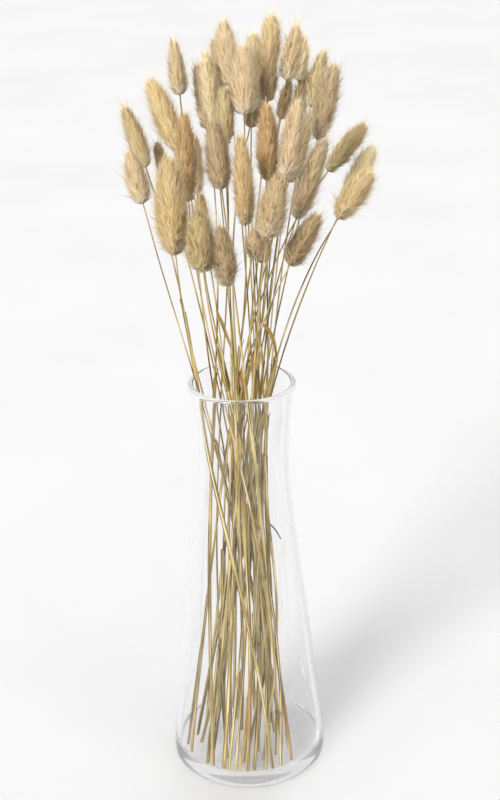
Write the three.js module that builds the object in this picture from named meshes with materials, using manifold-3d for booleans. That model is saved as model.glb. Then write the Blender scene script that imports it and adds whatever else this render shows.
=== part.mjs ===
// Dried bunny tail grass standing in a clear glass vase.
// Millimetres, +Z up. The origin is the centre of the vase's foot, on the surface it stands on;
// the front of the bunch faces -Y and +X is to the right.
import * as THREE from "three";
import { mergeVertices } from "three/addons/utils/BufferGeometryUtils.js";
import Module from "manifold-3d";

// ---- driving dimensions ----
const VASE_HEIGHT = 250; // foot to lip
const FOOT_RADIUS = 47.3; // widest place, just above the rounded heel
const FOOT_FLAT_RADIUS = 44.6; // flat ring and disc that the vase rests on
const WAIST_RADIUS = 27.0; // narrowest place of the outside
const WAIST_HEIGHT = 207;
const LIP_RADIUS = 31.1; // outside of the mouth
const WALL = 3.5; // glass thickness of the wall
const FLOOR = 9.0; // thickness of the solid glass foot
const FLOOR_CORNER = 1.8; // rounding between the inner floor and the wall
const VASE_SIDES = 44;

const STALK_SIDES = 7;
// seed head: [distance along it from its base to its tip, radius] as shares of its length and its widest radius
const HEAD_SHAPE = [
  [0, 0.5],
  [0.22, 0.93],
  [0.5, 1],
  [0.78, 0.8],
  [1, 0.3],
];
const HEAD_NECK = 0.8; // the stem's last ring is this far below the head
const HEAD_END = 1.04; // the head's tip closes here

// outside of the vase: [height, radius] from the heel to the lip
const VASE_OUTSIDE = [
  [2.9, FOOT_RADIUS],
  [10, 47.0],
  [50, 42.6],
  [90, 38.4],
  [130, 33.9],
  [160, 30.3],
  [180, 28.2],
  [195, 27.2],
  [WAIST_HEIGHT, WAIST_RADIUS],
  [220, 27.4],
  [232, 28.6],
  [243, 30.2],
];

// ---- colours ----
const GLASS = { color: 0xe9eeee, roughness: 0.04, metalness: 0 };
const TONES = {
  cream: 0xe0d2b0,
  gold: 0xcbb283,
  tan: 0xc0a479,
  olive: 0xb6a373,
  rose: 0xcbb496,
  taupe: 0xb59b7c,
  amber: 0xbb9669,
  russet: 0xa9876a,
  dark: 0x9a8157,
};

// ---- the stalks ----
// Each one runs from its cut end on the vase's inner floor, through the neck, to the base of its seed head (path) and
// on to the head's tip. culm is the bare stem's radius, sheath the radius where the leaf sheath still wraps it, below
// sheathTop, and head the widest radius of the seed head.
const STALKS = [
  { name: "stalk_01", tone: "tan", culm: 0.58, sheath: 1.09, sheathTop: 195, head: 3.62, tip: [-32.54, 22.64, 437.71],
    path: [[16, -2, 9.55], [10.4, 5.83, 57.54], [3.87, 11.66, 102.69], [-4.03, 15.34, 150.05], [-9.11, 16.44, 180.21], [-13.19, 16.92, 208.8], [-16.82, 16.85, 238.02], [-19.94, 16.53, 269.4], [-22.29, 16.41, 301.3], [-24.35, 16.57, 332.88], [-27.47, 17.95, 378.85], [-29.92, 20, 409.02]] },
  { name: "stalk_02", tone: "gold", culm: 0.61, sheath: 1.12, sheathTop: 156, head: 4.73, tip: [-45.02, 7.23, 419.55],
    path: [[24, -18, 9.54], [20.34, -11.91, 49.83], [14.88, -6.36, 89.59], [5.59, 0.13, 140.65], [0.46, 4.04, 172.02], [-4.34, 5.45, 199.24], [-7.77, 6.19, 226.82], [-10.17, 6.72, 257.41], [-13.05, 6.57, 290.65], [-16.91, 6.1, 321.42], [-24.55, 5.71, 358.99], [-31.45, 6, 382.04]] },
  { name: "stalk_03", tone: "olive", culm: 0.58, sheath: 1.08, sheathTop: 292, head: 3.90, tip: [-60.4, 18.93, 404.01],
    path: [[13.46, -38.41, 9.46], [9.59, -36.49, 47.92], [4.56, -33.48, 83.42], [-3.63, -26.64, 128.17], [-10.84, -19.05, 163.48], [-17.23, -11.28, 196.17], [-21.95, -4.94, 223.25], [-25.65, 0.44, 249.57], [-29.69, 5.24, 277.79], [-34.28, 9.13, 305.54], [-42.73, 13.58, 345.43], [-49.88, 16, 371.2]] },
  { name: "stalk_04", tone: "rose", culm: 0.55, sheath: 1.25, sheathTop: 106, head: 4.49, tip: [-56.28, -9.3, 385.44],
    path: [[20, -14, 9.52], [16.06, -10.56, 46.21], [10.84, -7.46, 83.11], [1.88, -4.52, 129.81], [-5.08, -3.39, 160.99], [-11.48, -3.22, 188.71], [-16.9, -3.44, 212.87], [-22.41, -3.88, 237.12], [-28.34, -4.32, 261.25], [-35.07, -5.09, 288.7], [-44.92, -6.75, 330.26], [-50.72, -8, 357.33]] },
  { name: "stalk_05", tone: "amber", culm: 0.57, sheath: 0.97, sheathTop: 173, head: 3.96, tip: [-26.23, -27.94, 409.31],
    path: [[16, -24, 9.36], [16.36, -24.62, 49.68], [15.15, -24.52, 86.23], [11.26, -23.16, 127.15], [6.8, -21.35, 157.53], [1.4, -19.19, 188.13], [-4.15, -17.41, 216.58], [-9.55, -16.4, 243.16], [-14.89, -16.13, 270.82], [-19.52, -16.78, 297.91], [-24.32, -19.34, 336.52], [-25.78, -22, 361.89]] },
  { name: "stalk_06", tone: "rose", culm: 0.58, sheath: 0.98, sheathTop: 197, head: 3.32, tip: [-23.16, 42.89, 381.9],
    path: [[18.28, -34.7, 9.6], [19.06, -22.56, 53.74], [17.49, -13.95, 84.99], [12.69, -3, 127.76], [8.86, 6.73, 158.6], [2.07, 12.81, 185.19], [-3.62, 16.93, 209.7], [-9.12, 20.23, 234.35], [-14.33, 23.27, 260.73], [-18.5, 26.35, 288.1], [-22, 31.49, 325.88], [-22.93, 36, 350.44]] },
  { name: "stalk_07", tone: "dark", culm: 0.64, sheath: 1.11, sheathTop: 107, head: 2.81, tip: [-44.24, 31.13, 380.68],
    path: [[24.79, -30.15, 9.63], [20.79, -20.81, 47.97], [15.75, -12.64, 82.49], [5.13, -2.17, 131.81], [-0.65, 4.29, 164.69], [-5.56, 8.67, 192.26], [-9.83, 12.25, 216.84], [-14.08, 15.33, 241.11], [-19.01, 18.18, 267.71], [-24.63, 20.62, 295.14], [-33.57, 24.53, 335.51], [-39.65, 28, 361.42]] },
  { name: "stalk_08", tone: "gold", culm: 0.55, sheath: 1.45, sheathTop: 209, head: 6.35, tip: [-34.25, -48.52, 391.08],
    path: [[4, 24, 9.39], [2.76, 24.71, 47.86], [0.71, 24.11, 81.46], [-2.81, 21.2, 117.51], [-6.21, 17.38, 144.03], [-10.08, 12.12, 171.05], [-13.84, 5.81, 196.91], [-17.88, -1.13, 222.03], [-22.14, -8.45, 246.26], [-26.87, -17.83, 275.51], [-31.59, -29.69, 313.97], [-33.09, -36, 337.47]] },
  { name: "stalk_09", tone: "olive", culm: 0.55, sheath: 1.29, sheathTop: 256, head: 5.66, tip: [-19.57, -54.22, 364.17],
    path: [[14, 10, 9.38], [14.07, 8.9, 45.87], [13, 7.06, 80.55], [9.96, 3.45, 119.19], [8.12, -0.46, 146.57], [6.23, -4.18, 172.46], [2.86, -8.21, 195.87], [-1.29, -12.94, 219.38], [-5.97, -18.71, 243.21], [-10.88, -25.61, 268.86], [-16.65, -36.83, 306.87], [-18.53, -44, 330.38]] },
  { name: "stalk_10", tone: "gold", culm: 0.60, sheath: 1.25, sheathTop: 260, head: 3.38, tip: [-20.91, 45.02, 347.86],
    path: [[9.1, -39.48, 9.61], [10.59, -30.83, 48.77], [10.79, -24.45, 77.44], [9.03, -15.99, 113.43], [6.16, -8.76, 142.25], [3.17, -1.46, 171.85], [1.41, 5.51, 199.01], [-3.12, 11.59, 223.2], [-9.15, 17.85, 247.61], [-14.43, 24.42, 271.73], [-19.76, 32.78, 303], [-21.02, 38, 322.28]] },
  { name: "stalk_11", tone: "taupe", culm: 0.64, sheath: 1.17, sheathTop: 226, head: 4.36, tip: [-9.03, -57.56, 357.48],
    path: [[-5, 2, 9.46], [-3.86, -1.57, 44.76], [-3.12, -5.57, 83.5], [-3.09, -9.58, 121.75], [-3.25, -12.23, 146.39], [-3.51, -14.88, 169.93], [-3.66, -17.66, 192.67], [-3.7, -20.65, 214.73], [-3.67, -23.82, 236.75], [-3.85, -28.2, 259.16], [-4.95, -38.33, 298.09], [-6.38, -46, 322.94]] },
  { name: "stalk_12", tone: "taupe", culm: 0.64, sheath: 1.15, sheathTop: 260, head: 4.81, tip: [-11.65, -28.89, 404.99],
    path: [[12, -12, 9.44], [12.6, -15.44, 51.1], [12.82, -18.47, 93.55], [11.77, -20.25, 134.07], [10.2, -20.69, 161.39], [8.05, -20.61, 189.18], [5.54, -20.2, 217.14], [2.81, -19.73, 245.53], [0.37, -19.22, 273.85], [-2.13, -19.38, 301.54], [-5.85, -21.3, 341.83], [-8.31, -24, 368.45]] },
  { name: "stalk_13", tone: "russet", culm: 0.62, sheath: 1.23, sheathTop: 248, head: 2.99, tip: [-21, 30.55, 423.83],
    path: [[-22.19, -34, 9.55], [-22.01, -26.17, 53.99], [-21.75, -18.9, 93.28], [-21, -9.88, 139.56], [-19.95, -3.63, 171.35], [-18.69, 2.3, 202.33], [-16.51, 7.29, 232.84], [-14.37, 11.56, 262.81], [-12.76, 15.14, 291.79], [-12, 18.3, 320.56], [-13.19, 22.74, 361.97], [-15.96, 26, 389.29]] },
  { name: "stalk_14", tone: "cream", culm: 0.55, sheath: 1.70, sheathTop: 191, head: 3.35, tip: [-15.34, 7.09, 434.14],
    path: [[-1.44, -40.16, 9.57], [0.62, -34.57, 53.62], [1.43, -28.84, 92.7], [0.8, -21.75, 140.69], [-0.34, -16.28, 174.87], [-1.75, -11.12, 206.86], [-2.73, -6.76, 235.85], [-3.77, -3.02, 264.43], [-5.15, -0.03, 292.66], [-6.82, 2.37, 321.83], [-9.9, 4.91, 366.73], [-12.26, 6, 396.69]] },
  { name: "stalk_15", tone: "olive", culm: 0.63, sheath: 1.32, sheathTop: 82, head: 2.95, tip: [-10.94, 25.01, 437.23],
    path: [[-14, -26, 9.61], [-16.07, -15.67, 59.64], [-17.15, -6.61, 103.77], [-17.05, 1.84, 149.38], [-16.12, 6.48, 178.9], [-14.4, 10.24, 208.52], [-11.94, 13.19, 239.86], [-9.3, 15.23, 271.5], [-6.97, 16.59, 303.54], [-5.54, 17.68, 334.87], [-5.78, 19.74, 379.06], [-7.79, 22, 407.86]] },
  { name: "stalk_16", tone: "rose", culm: 0.61, sheath: 1.01, sheathTop: 167, head: 4.46, tip: [-5.39, 13.79, 448.24],
    path: [[5.23, -20.28, 9.53], [7.01, -10.36, 61.29], [6.83, -2.32, 105.22], [6.05, 4.37, 151.73], [6.82, 8.27, 182.07], [6.58, 10.25, 212.03], [6.29, 11.52, 242.09], [5.4, 11.98, 273.4], [3.98, 11.78, 305.52], [2.11, 11.3, 337.7], [-1.08, 11.11, 384.59], [-3.19, 12, 415.16]] },
  { name: "stalk_17", tone: "olive", culm: 0.56, sheath: 1.00, sheathTop: 271, head: 3.53, tip: [-5.61, -9.2, 417.9],
    path: [[-12, -12, 9.39], [-11.02, -10.12, 54.32], [-10.4, -8.34, 97.1], [-9.85, -6.64, 140.44], [-9.22, -5.58, 169.8], [-7.43, -4.13, 199.53], [-6.14, -3.2, 228.31], [-5.65, -3.06, 256.7], [-5.41, -3.54, 285.45], [-5.4, -4.55, 314.65], [-5.67, -6.64, 358.81], [-5.73, -8, 388.05]] },
  { name: "stalk_18", tone: "cream", culm: 0.59, sheath: 1.01, sheathTop: 195, head: 4.60, tip: [10.8, 38.66, 437.5],
    path: [[8, -30, 9.64], [15.83, -14.72, 64.73], [18.18, -4.26, 102.43], [14.85, 6.78, 150.75], [11.37, 11.16, 180.15], [10.5, 15.57, 209.3], [9.75, 19.28, 239.27], [8.99, 22.19, 270.96], [8.32, 24.38, 301.74], [7.86, 26.44, 332.98], [8.07, 30.25, 378.34], [9.13, 34, 407.96]] },
  { name: "stalk_19", tone: "rose", culm: 0.55, sheath: 1.13, sheathTop: 123, head: 5.47, tip: [4.42, -9.32, 438.95],
    path: [[4, 12, 9.52], [8.84, 19.14, 62.93], [10.87, 22.32, 102.92], [11.15, 22.7, 142.57], [10.48, 21.17, 171.54], [9.31, 18.01, 202.74], [8.09, 13.51, 234.92], [7.5, 8.09, 267.56], [6.94, 2.92, 299.28], [5.88, -1.33, 329.68], [4.57, -6.11, 374.18], [4.25, -8, 403.82]] },
  { name: "stalk_20", tone: "gold", culm: 0.63, sheath: 1.26, sheathTop: 267, head: 4.07, tip: [20.05, 28.95, 448.7],
    path: [[-15.59, -37.51, 9.6], [-11.83, -28.02, 57.93], [-8.87, -18.86, 102.97], [-6.7, -8.15, 156.47], [-6.03, -1.66, 191.51], [-5.46, 3.57, 223.44], [-2.39, 7.97, 252.19], [1.59, 11.82, 281.13], [6.23, 15.3, 311.97], [10.8, 18.41, 343.83], [16.32, 22.8, 391.42], [18.69, 26, 422.62]] },
  { name: "stalk_21", tone: "dark", culm: 0.62, sheath: 1.31, sheathTop: 223, head: 3.79, tip: [18.39, 9.04, 434.79],
    path: [[-4.57, -21.02, 9.58], [2.56, -14.56, 60.91], [7.05, -9.52, 103.3], [10.12, -4.11, 146.95], [10.47, 0.01, 177.77], [13.14, 2.81, 208.32], [14.49, 4.66, 238.61], [15.26, 5.79, 268.78], [15.52, 6.4, 299.44], [15.56, 6.72, 330.44], [15.96, 7.24, 376.53], [16.95, 8, 406.84]] },
  { name: "stalk_22", tone: "dark", culm: 0.63, sheath: 1.25, sheathTop: 251, head: 3.51, tip: [14.85, 44.76, 408.59],
    path: [[2.23, -39.33, 9.67], [5.69, -27.22, 56.36], [6.77, -17.41, 93.65], [5.29, -5.05, 140.39], [2.6, 3.62, 173.37], [0.41, 10.73, 203.79], [-1.47, 17.12, 234.16], [-3.3, 22.22, 266.83], [-3.87, 26.75, 300.27], [-2.56, 30.64, 329.8], [2.19, 35.86, 364.32], [7.73, 40, 386.37]] },
  { name: "stalk_23", tone: "tan", culm: 0.62, sheath: 0.96, sheathTop: 202, head: 3.78, tip: [33.06, 11.24, 445.03],
    path: [[-22.75, -28.87, 9.48], [-17.74, -24.23, 57.04], [-12.99, -19.04, 102.03], [-7.69, -12.03, 151.01], [-3.7, -6.32, 184.98], [-0.1, -1.1, 218.08], [2.84, 3.15, 248.9], [5.39, 6.22, 277.89], [9.04, 7.92, 308.1], [13.5, 8.68, 339.39], [21.42, 9.19, 386.69], [27.36, 10, 417.42]] },
  { name: "stalk_24", tone: "cream", culm: 0.57, sheath: 1.09, sheathTop: 82, head: 2.75, tip: [37.88, 37.61, 436.32],
    path: [[-25.43, -31.65, 9.63], [-19.89, -19.18, 59.56], [-14.43, -8.03, 105.19], [-7.55, 2.91, 152.88], [-2.02, 9.21, 183.41], [3.67, 14.35, 213.64], [9.26, 18.2, 244.22], [14.13, 21.14, 273.93], [18.71, 23.45, 305.1], [23.3, 25.63, 336.71], [30.18, 29.51, 382.69], [34.91, 34, 412.86]] },
  { name: "stalk_25", tone: "dark", culm: 0.63, sheath: 1.02, sheathTop: 189, head: 2.80, tip: [30.3, 41.97, 411.52],
    path: [[-8.62, -39.68, 9.57], [-4.17, -29.84, 55.48], [-1.12, -21.23, 94.39], [1.55, -10.8, 141.1], [3.33, -3.77, 173.9], [5.92, 2.7, 205.03], [8.36, 8.12, 235.49], [10.31, 13.3, 265.95], [11.81, 18.56, 295.75], [13.95, 23.96, 324.53], [19.37, 32.64, 365.19], [24.94, 38, 391.12]] },
  { name: "stalk_26", tone: "olive", culm: 0.57, sheath: 1.35, sheathTop: 219, head: 3.38, tip: [47.29, 15.92, 431.21],
    path: [[0, -12, 9.69], [12.02, -2.22, 67.64], [15.04, 3.65, 103.78], [13.64, 9.43, 144.49], [13.19, 12.76, 174.1], [14.01, 14.74, 203.81], [15.95, 15.58, 234.58], [18.8, 15.41, 266.12], [22.39, 14.54, 297.97], [26.63, 13.53, 329.31], [34.21, 13.01, 373.78], [40.38, 14, 402.52]] },
  { name: "stalk_27", tone: "taupe", culm: 0.55, sheath: 1.01, sheathTop: 120, head: 4.41, tip: [51.46, -9.57, 428.77],
    path: [[-22, -18, 9.52], [-15.15, -13.73, 55.37], [-9.4, -10.47, 98.41], [-4.04, -7.77, 141.87], [-0.3, -6.22, 171.62], [3.96, -5.04, 202.18], [9, -4.39, 232.21], [14.62, -4.07, 260.85], [20.44, -4.3, 288.7], [26.6, -5.03, 317.24], [36.16, -6.74, 360.71], [42.65, -8, 389.73]] },
  { name: "stalk_28", tone: "taupe", culm: 0.58, sheath: 1.05, sheathTop: 221, head: 3.25, tip: [39.52, 38.46, 418.2],
    path: [[-6.22, -40.13, 9.58], [-0.38, -31.12, 56.17], [3.57, -23.09, 94.95], [6.89, -12.59, 141.55], [8.8, -4.74, 175.27], [10.14, 2.65, 206.73], [12.84, 8.86, 235.47], [15.88, 14.24, 263.57], [19.18, 19, 291.79], [22.75, 23.42, 320.86], [28.71, 29.7, 364.45], [33.71, 34, 392.09]] },
  { name: "stalk_29", tone: "rose", culm: 0.59, sheath: 1.09, sheathTop: 262, head: 4.36, tip: [31.85, -29.35, 415.29],
    path: [[-8, 14, 9.51], [-2.24, 18.96, 59.49], [1.37, 20.81, 97.96], [3.82, 20.31, 133.48], [5.31, 18.43, 159.09], [6.9, 15.03, 186.94], [8.9, 9.96, 216.69], [11.38, 3.58, 246.65], [14.14, -3.59, 277.03], [17.12, -10.63, 306.34], [21.92, -19.55, 347.48], [25.58, -24, 374.08]] },
  { name: "stalk_30", tone: "olive", culm: 0.57, sheath: 0.97, sheathTop: 113, head: 4.18, tip: [39.97, 26.87, 396.71],
    path: [[-35.39, -19.9, 9.58], [-30.34, -9.55, 54.22], [-25.59, -1.31, 93.25], [-20.26, 5.76, 133.42], [-16.52, 9.37, 159.05], [-12.36, 12.24, 184.95], [-7.23, 14.67, 212.97], [-1.44, 15.84, 242.68], [4.7, 16.61, 270.69], [11.25, 17.43, 297.73], [21.41, 19.57, 335.4], [28.59, 22, 359.77]] },
  { name: "stalk_31", tone: "amber", culm: 0.61, sheath: 1.30, sheathTop: 262, head: 4.40, tip: [15.65, -22, 411.98],
    path: [[-20, 18, 9.51], [-15.58, 15.4, 49.42], [-11.15, 11.99, 91.04], [-6.76, 7.51, 133.6], [-3.76, 4.02, 162.07], [-0.36, 0.85, 190.53], [3.54, -2.12, 219.57], [7.16, -5.27, 248.03], [10.38, -8.28, 275.8], [13.19, -11.03, 303.43], [15.71, -15.27, 344.17], [16.14, -18, 371.24]] },
  { name: "stalk_32", tone: "gold", culm: 0.61, sheath: 1.60, sheathTop: 140, head: 3.94, tip: [1.81, -38.91, 399.5],
    path: [[-16, 4, 9.37], [-15.35, 4.56, 50.76], [-14.71, 4.43, 89.69], [-13.77, 3.13, 127.81], [-12.78, 1.52, 152.83], [-11.32, -0.66, 178.2], [-9.3, -4, 205.11], [-5.85, -8.16, 233.57], [-2.27, -12.71, 260.71], [0.97, -17.87, 288.48], [3.64, -25.29, 326.31], [3.78, -30, 350.82]] },
  { name: "stalk_33", tone: "tan", culm: 0.57, sheath: 1.01, sheathTop: 270, head: 5.41, tip: [21.02, -50.85, 380.44],
    path: [[-24, -3, 9.46], [-19.68, -2.07, 49.32], [-14.52, -2.39, 89.19], [-8.67, -4.47, 127.56], [-4.8, -6.51, 153.07], [-1.44, -9.23, 178.66], [1.65, -12.72, 205.03], [4.25, -16.33, 231.4], [6.28, -20.71, 256.67], [8.25, -26.36, 283.92], [11.77, -35.6, 322.49], [15.16, -42, 347.08]] },
  { name: "stalk_34", tone: "cream", culm: 0.61, sheath: 1.15, sheathTop: 67, head: 3.10, tip: [23.92, 38.75, 362.83],
    path: [[-12.84, -38.53, 9.64], [-7.89, -28.78, 50.64], [-4.53, -21.01, 82.8], [-1.38, -11.77, 120.45], [0.45, -4.97, 147.88], [2.25, 1.7, 175.14], [3.91, 8.07, 200.51], [5.94, 13.09, 224.87], [8.74, 17.63, 249.08], [11.95, 21.83, 272.17], [17.22, 28.28, 307.82], [19.13, 32, 332]] },
  { name: "stalk_35", tone: "rose", culm: 0.58, sheath: 1.35, sheathTop: 207, head: 2.65, tip: [8.37, -33.06, 347.56],
    path: [[6, 0, 9.44], [8.69, 1.34, 50.79], [10.74, 1.93, 88.48], [13.36, 1.5, 124.7], [14.61, 0.51, 148.55], [13.25, -2.54, 172.05], [12.92, -4.9, 195.04], [12.65, -7.8, 218.75], [12.16, -11.35, 243.09], [11.39, -15.62, 268.01], [9.64, -24.23, 307.36], [8.69, -30, 332.51]] },
  { name: "stalk_36", tone: "rose", culm: 0.62, sheath: 1.19, sheathTop: 98, head: 3.59, tip: [15.58, 29.07, 326.47],
    path: [[-4, -31, 9.63], [0.49, -21.81, 50.55], [2.99, -14.92, 81.41], [4.66, -7.52, 115.19], [5, -2.52, 139.68], [6.77, 3.1, 165.12], [9.43, 7.55, 189.74], [10.83, 11.65, 215.32], [10.27, 15.03, 239.78], [9.76, 18.23, 263.64], [10.6, 22.61, 292.94], [12.85, 26, 311.51]] },
  { name: "stalk_37", tone: "taupe", culm: 0.57, sheath: 1.04, sheathTop: 139, head: 4.44, tip: [45.43, -25.46, 393.84],
    path: [[-28, 8, 9.46], [-23.6, 10.02, 50.15], [-19.19, 10.8, 88.65], [-14.39, 9.77, 126.48], [-10.74, 8.01, 152.03], [-6.6, 5.38, 178.21], [-1.45, 2.23, 206.54], [4.3, -1.25, 235.91], [9.76, -5.27, 263.57], [15.33, -10.07, 290.75], [24.17, -16.49, 327.48], [30.99, -20, 350.65]] },
  { name: "stalk_38", tone: "dark", culm: 0.63, sheath: 1.50, sheathTop: 270, head: 4.63, tip: [41.25, -41.41, 358.26],
    path: [[-10, 26, 9.48], [-8.25, 29.67, 54.44], [-7.37, 30.29, 86.28], [-6.85, 28.65, 114.62], [-6.49, 25.8, 136.54], [-5.8, 20.63, 162.89], [-4.63, 11.83, 194.56], [-1.52, -0.26, 229.6], [3.24, -10.86, 257.98], [9.11, -20.06, 282.54], [18.78, -28.87, 310.98], [26.96, -34, 329.62]] },
  { name: "stalk_39", tone: "olive", culm: 0.58, sheath: 1.00, sheathTop: 211, head: 3.93, tip: [70.92, 23.48, 390.21],
    path: [[-38, -12, 9.61], [-30.85, 0.15, 59.49], [-25.07, 8.36, 99.65], [-19.98, 13.97, 135.98], [-16.44, 16.76, 160.78], [-11.54, 19.12, 191.98], [-4.14, 20.51, 230.89], [7.12, 19.88, 276.03], [20.19, 18.61, 313.43], [30.5, 18.32, 335.35], [41.34, 18.89, 353.49], [50.31, 20, 365.7]] },
  { name: "stalk_40", tone: "cream", culm: 0.60, sheath: 1.17, sheathTop: 194, head: 4.16, tip: [74.28, 16.59, 379.02],
    path: [[-30, -10, 9.65], [-18.9, -5.82, 52.49], [-10.11, -1.43, 92.52], [-3.36, 2.7, 130.02], [1.1, 5.08, 155.39], [5.33, 6.42, 180.88], [9.83, 7.28, 206.5], [14.97, 8.43, 229.6], [22.7, 9.56, 258.08], [31.36, 10.52, 284.47], [47.6, 12.26, 325.12], [59.62, 14, 350.45]] },
  { name: "stalk_41", tone: "gold", culm: 0.61, sheath: 1.30, sheathTop: 263, head: 4.87, tip: [69.27, -25.92, 376.25],
    path: [[-33, -2, 9.6], [-25.19, -0.41, 48.85], [-17.23, 0.59, 88.83], [-9.49, 0.7, 127.81], [-4.45, 0.14, 154.32], [0.81, -1.24, 182.86], [7.73, -3.08, 214.52], [15.04, -6.35, 247.42], [22.8, -10.39, 277.8], [30.99, -14.37, 303.57], [43.02, -19.1, 332.37], [52.9, -22, 350.46]] },
];

// Dry leaf blades and bits of sheath that grew on a stalk and are one piece with it: half width at each point of the
// path, and half thickness.
const LEAVES = [
  { on: "stalk_17", half: [0.5, 0.85, 0.95, 0.6, 0.12], thick: 0.24,
    path: [[-5.52, -3.31, 271.87], [-8.01, -5.58, 280.62], [-10.2, -6.98, 288.45], [-12.52, -7.58, 294.58], [-13.03, -7.78, 300.03]] },
  { on: "stalk_41", half: [0.6, 1, 0.95, 0.85, 0.8, 0.7, 0.12], thick: 0.24,
    path: [[20.04, -8.95, 267.01], [18.36, -12.04, 278.28], [16.89, -13.31, 282.91], [15.09, -14.33, 286.61], [12.91, -14.84, 288.84], [11.39, -15.35, 291.09], [11.36, -15.35, 296.2]] },
  { on: "stalk_38", half: [0.7, 1.1, 0.8, 0.12], thick: 0.30,
    path: [[2.9, -10.12, 256], [3.38, -13.82, 264], [5.84, -18.61, 276], [10.74, -23.37, 290]] },
  { on: "stalk_12", half: [0.5, 0.75, 0.4], thick: 0.30,
    path: [[2.69, -19.7, 247], [0.8, -20.26, 255], [-0.68, -20.29, 264]] },
  { on: "stalk_26", half: [0.42, 0.38, 0.3], thick: 0.38,
    path: [[13.49, 10.54, 154.36], [18.46, 9.94, 148.99], [22.25, 9.34, 142.44]] },
];

const wasm = await Module();
wasm.setup();

// A closed body swept along a path: a lathe with one ring for each point, whose rings are then set square to the path.
// rings: { at: Vector3, wide, thick }; the first and the last ring are closed by a face to their own centre.
function sweep(rings, sides, across) {
  const n = rings.length;
  const profile = [new THREE.Vector2(0, 0)];
  for (let i = 0; i < n; i++) profile.push(new THREE.Vector2(1, i));
  profile.push(new THREE.Vector2(0, n - 1));
  const lathe = new THREE.LatheGeometry(profile, sides);
  const path = rings.map((r) => r.at);
  const along = path.map((p, i) =>
    new THREE.Vector3()
      .subVectors(path[Math.min(i + 1, n - 1)], path[Math.max(i - 1, 0)])
      .normalize(),
  );
  for (let i = 1; i < n - 1; i++) {
    const a = new THREE.Vector3().subVectors(path[i], path[i - 1]).normalize();
    const b = new THREE.Vector3().subVectors(path[i + 1], path[i]).normalize();
    along[i] = a.add(b).normalize();
  }
  // each ring's two axes follow the path without twisting
  const u = [];
  const v = [];
  let side = (across ?? new THREE.Vector3(1, 0, 0)).clone();
  for (let i = 0; i < n; i++) {
    side = side.clone().addScaledVector(along[i], -side.dot(along[i])).normalize();
    u.push(side);
    v.push(new THREE.Vector3().crossVectors(along[i], side));
  }
  const pos = lathe.getAttribute("position");
  const rows = profile.length;
  const p = new THREE.Vector3();
  for (let k = 0; k < pos.count; k++) {
    const row = k % rows;
    const i = Math.min(Math.max(row - 1, 0), n - 1);
    p.copy(rings[i].at)
      .addScaledVector(u[i], pos.getX(k) * rings[i].wide)
      .addScaledVector(v[i], pos.getZ(k) * rings[i].thick);
    pos.setXYZ(k, p.x, p.y, p.z);
  }
  return lathe;
}

// Merges equal corners and drops faces with no area.
function tidy(geometry) {
  const g = geometry.clone();
  g.deleteAttribute("normal");
  g.deleteAttribute("uv");
  const m = mergeVertices(g, 1e-4);
  const index = m.index.array;
  const kept = [];
  for (let i = 0; i < index.length; i += 3) {
    const [a, b, c] = [index[i], index[i + 1], index[i + 2]];
    if (a !== b && b !== c && c !== a) kept.push(a, b, c);
  }
  m.setIndex(kept);
  return m;
}

function solid(geometry) {
  const m = tidy(geometry);
  const make = (index) =>
    new wasm.Manifold(
      new wasm.Mesh({
        numProp: 3,
        vertProperties: new Float32Array(m.getAttribute("position").array),
        triVerts: new Uint32Array(index),
      }),
    );
  const index = [...m.index.array];
  const made = make(index);
  if (made.volume() > 0) return made;
  for (let i = 0; i < index.length; i += 3)
    [index[i + 1], index[i + 2]] = [index[i + 2], index[i + 1]];
  return make(index);
}

function geometryOf(made) {
  const mesh = made.getMesh();
  const g = new THREE.BufferGeometry();
  const count = mesh.vertProperties.length / mesh.numProp;
  const position = new Float32Array(count * 3);
  for (let i = 0; i < count; i++)
    for (let k = 0; k < 3; k++)
      position[i * 3 + k] = mesh.vertProperties[i * mesh.numProp + k];
  g.setAttribute("position", new THREE.BufferAttribute(position, 3));
  g.setIndex([...mesh.triVerts]);
  g.computeVertexNormals();
  return g;
}

// ---- the vase: one lathe profile, up the outside, over the lip and down the inside ----
function vaseProfile() {
  const outside = VASE_OUTSIDE.map(([z, r]) => new THREE.Vector2(r, z));
  const profile = [new THREE.Vector2(0, 0), new THREE.Vector2(FOOT_FLAT_RADIUS, 0)];
  profile.push(new THREE.Vector2(FOOT_FLAT_RADIUS + 1.9, 0.8));
  profile.push(...outside);
  // lip: a half round as thick as the wall
  const middle = new THREE.Vector2(LIP_RADIUS - WALL / 2 - 0.1, VASE_HEIGHT - WALL / 2);
  for (let k = 0; k <= 4; k++) {
    const a = (k * Math.PI) / 4;
    profile.push(
      new THREE.Vector2(middle.x + (WALL / 2) * Math.cos(a), middle.y + (WALL / 2) * Math.sin(a)),
    );
  }
  // inside, one wall thickness in
  const inside = outside
    .filter((p) => p.y > FLOOR + FLOOR_CORNER + 8)
    .map((p) => new THREE.Vector2(p.x - WALL, p.y))
    .reverse();
  profile.push(...inside);
  const foot = FOOT_RADIUS - WALL - 0.2; // inner radius at the floor
  profile.push(new THREE.Vector2(foot, FLOOR + FLOOR_CORNER));
  profile.push(new THREE.Vector2(foot - FLOOR_CORNER * 0.3, FLOOR + FLOOR_CORNER * 0.3));
  profile.push(new THREE.Vector2(foot - FLOOR_CORNER, FLOOR));
  profile.push(new THREE.Vector2(0, FLOOR));
  return profile;
}

const vaseGeometry = new THREE.LatheGeometry(vaseProfile(), VASE_SIDES);
vaseGeometry.rotateX(Math.PI / 2); // the lathe's own axis stands up along +Z

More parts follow.
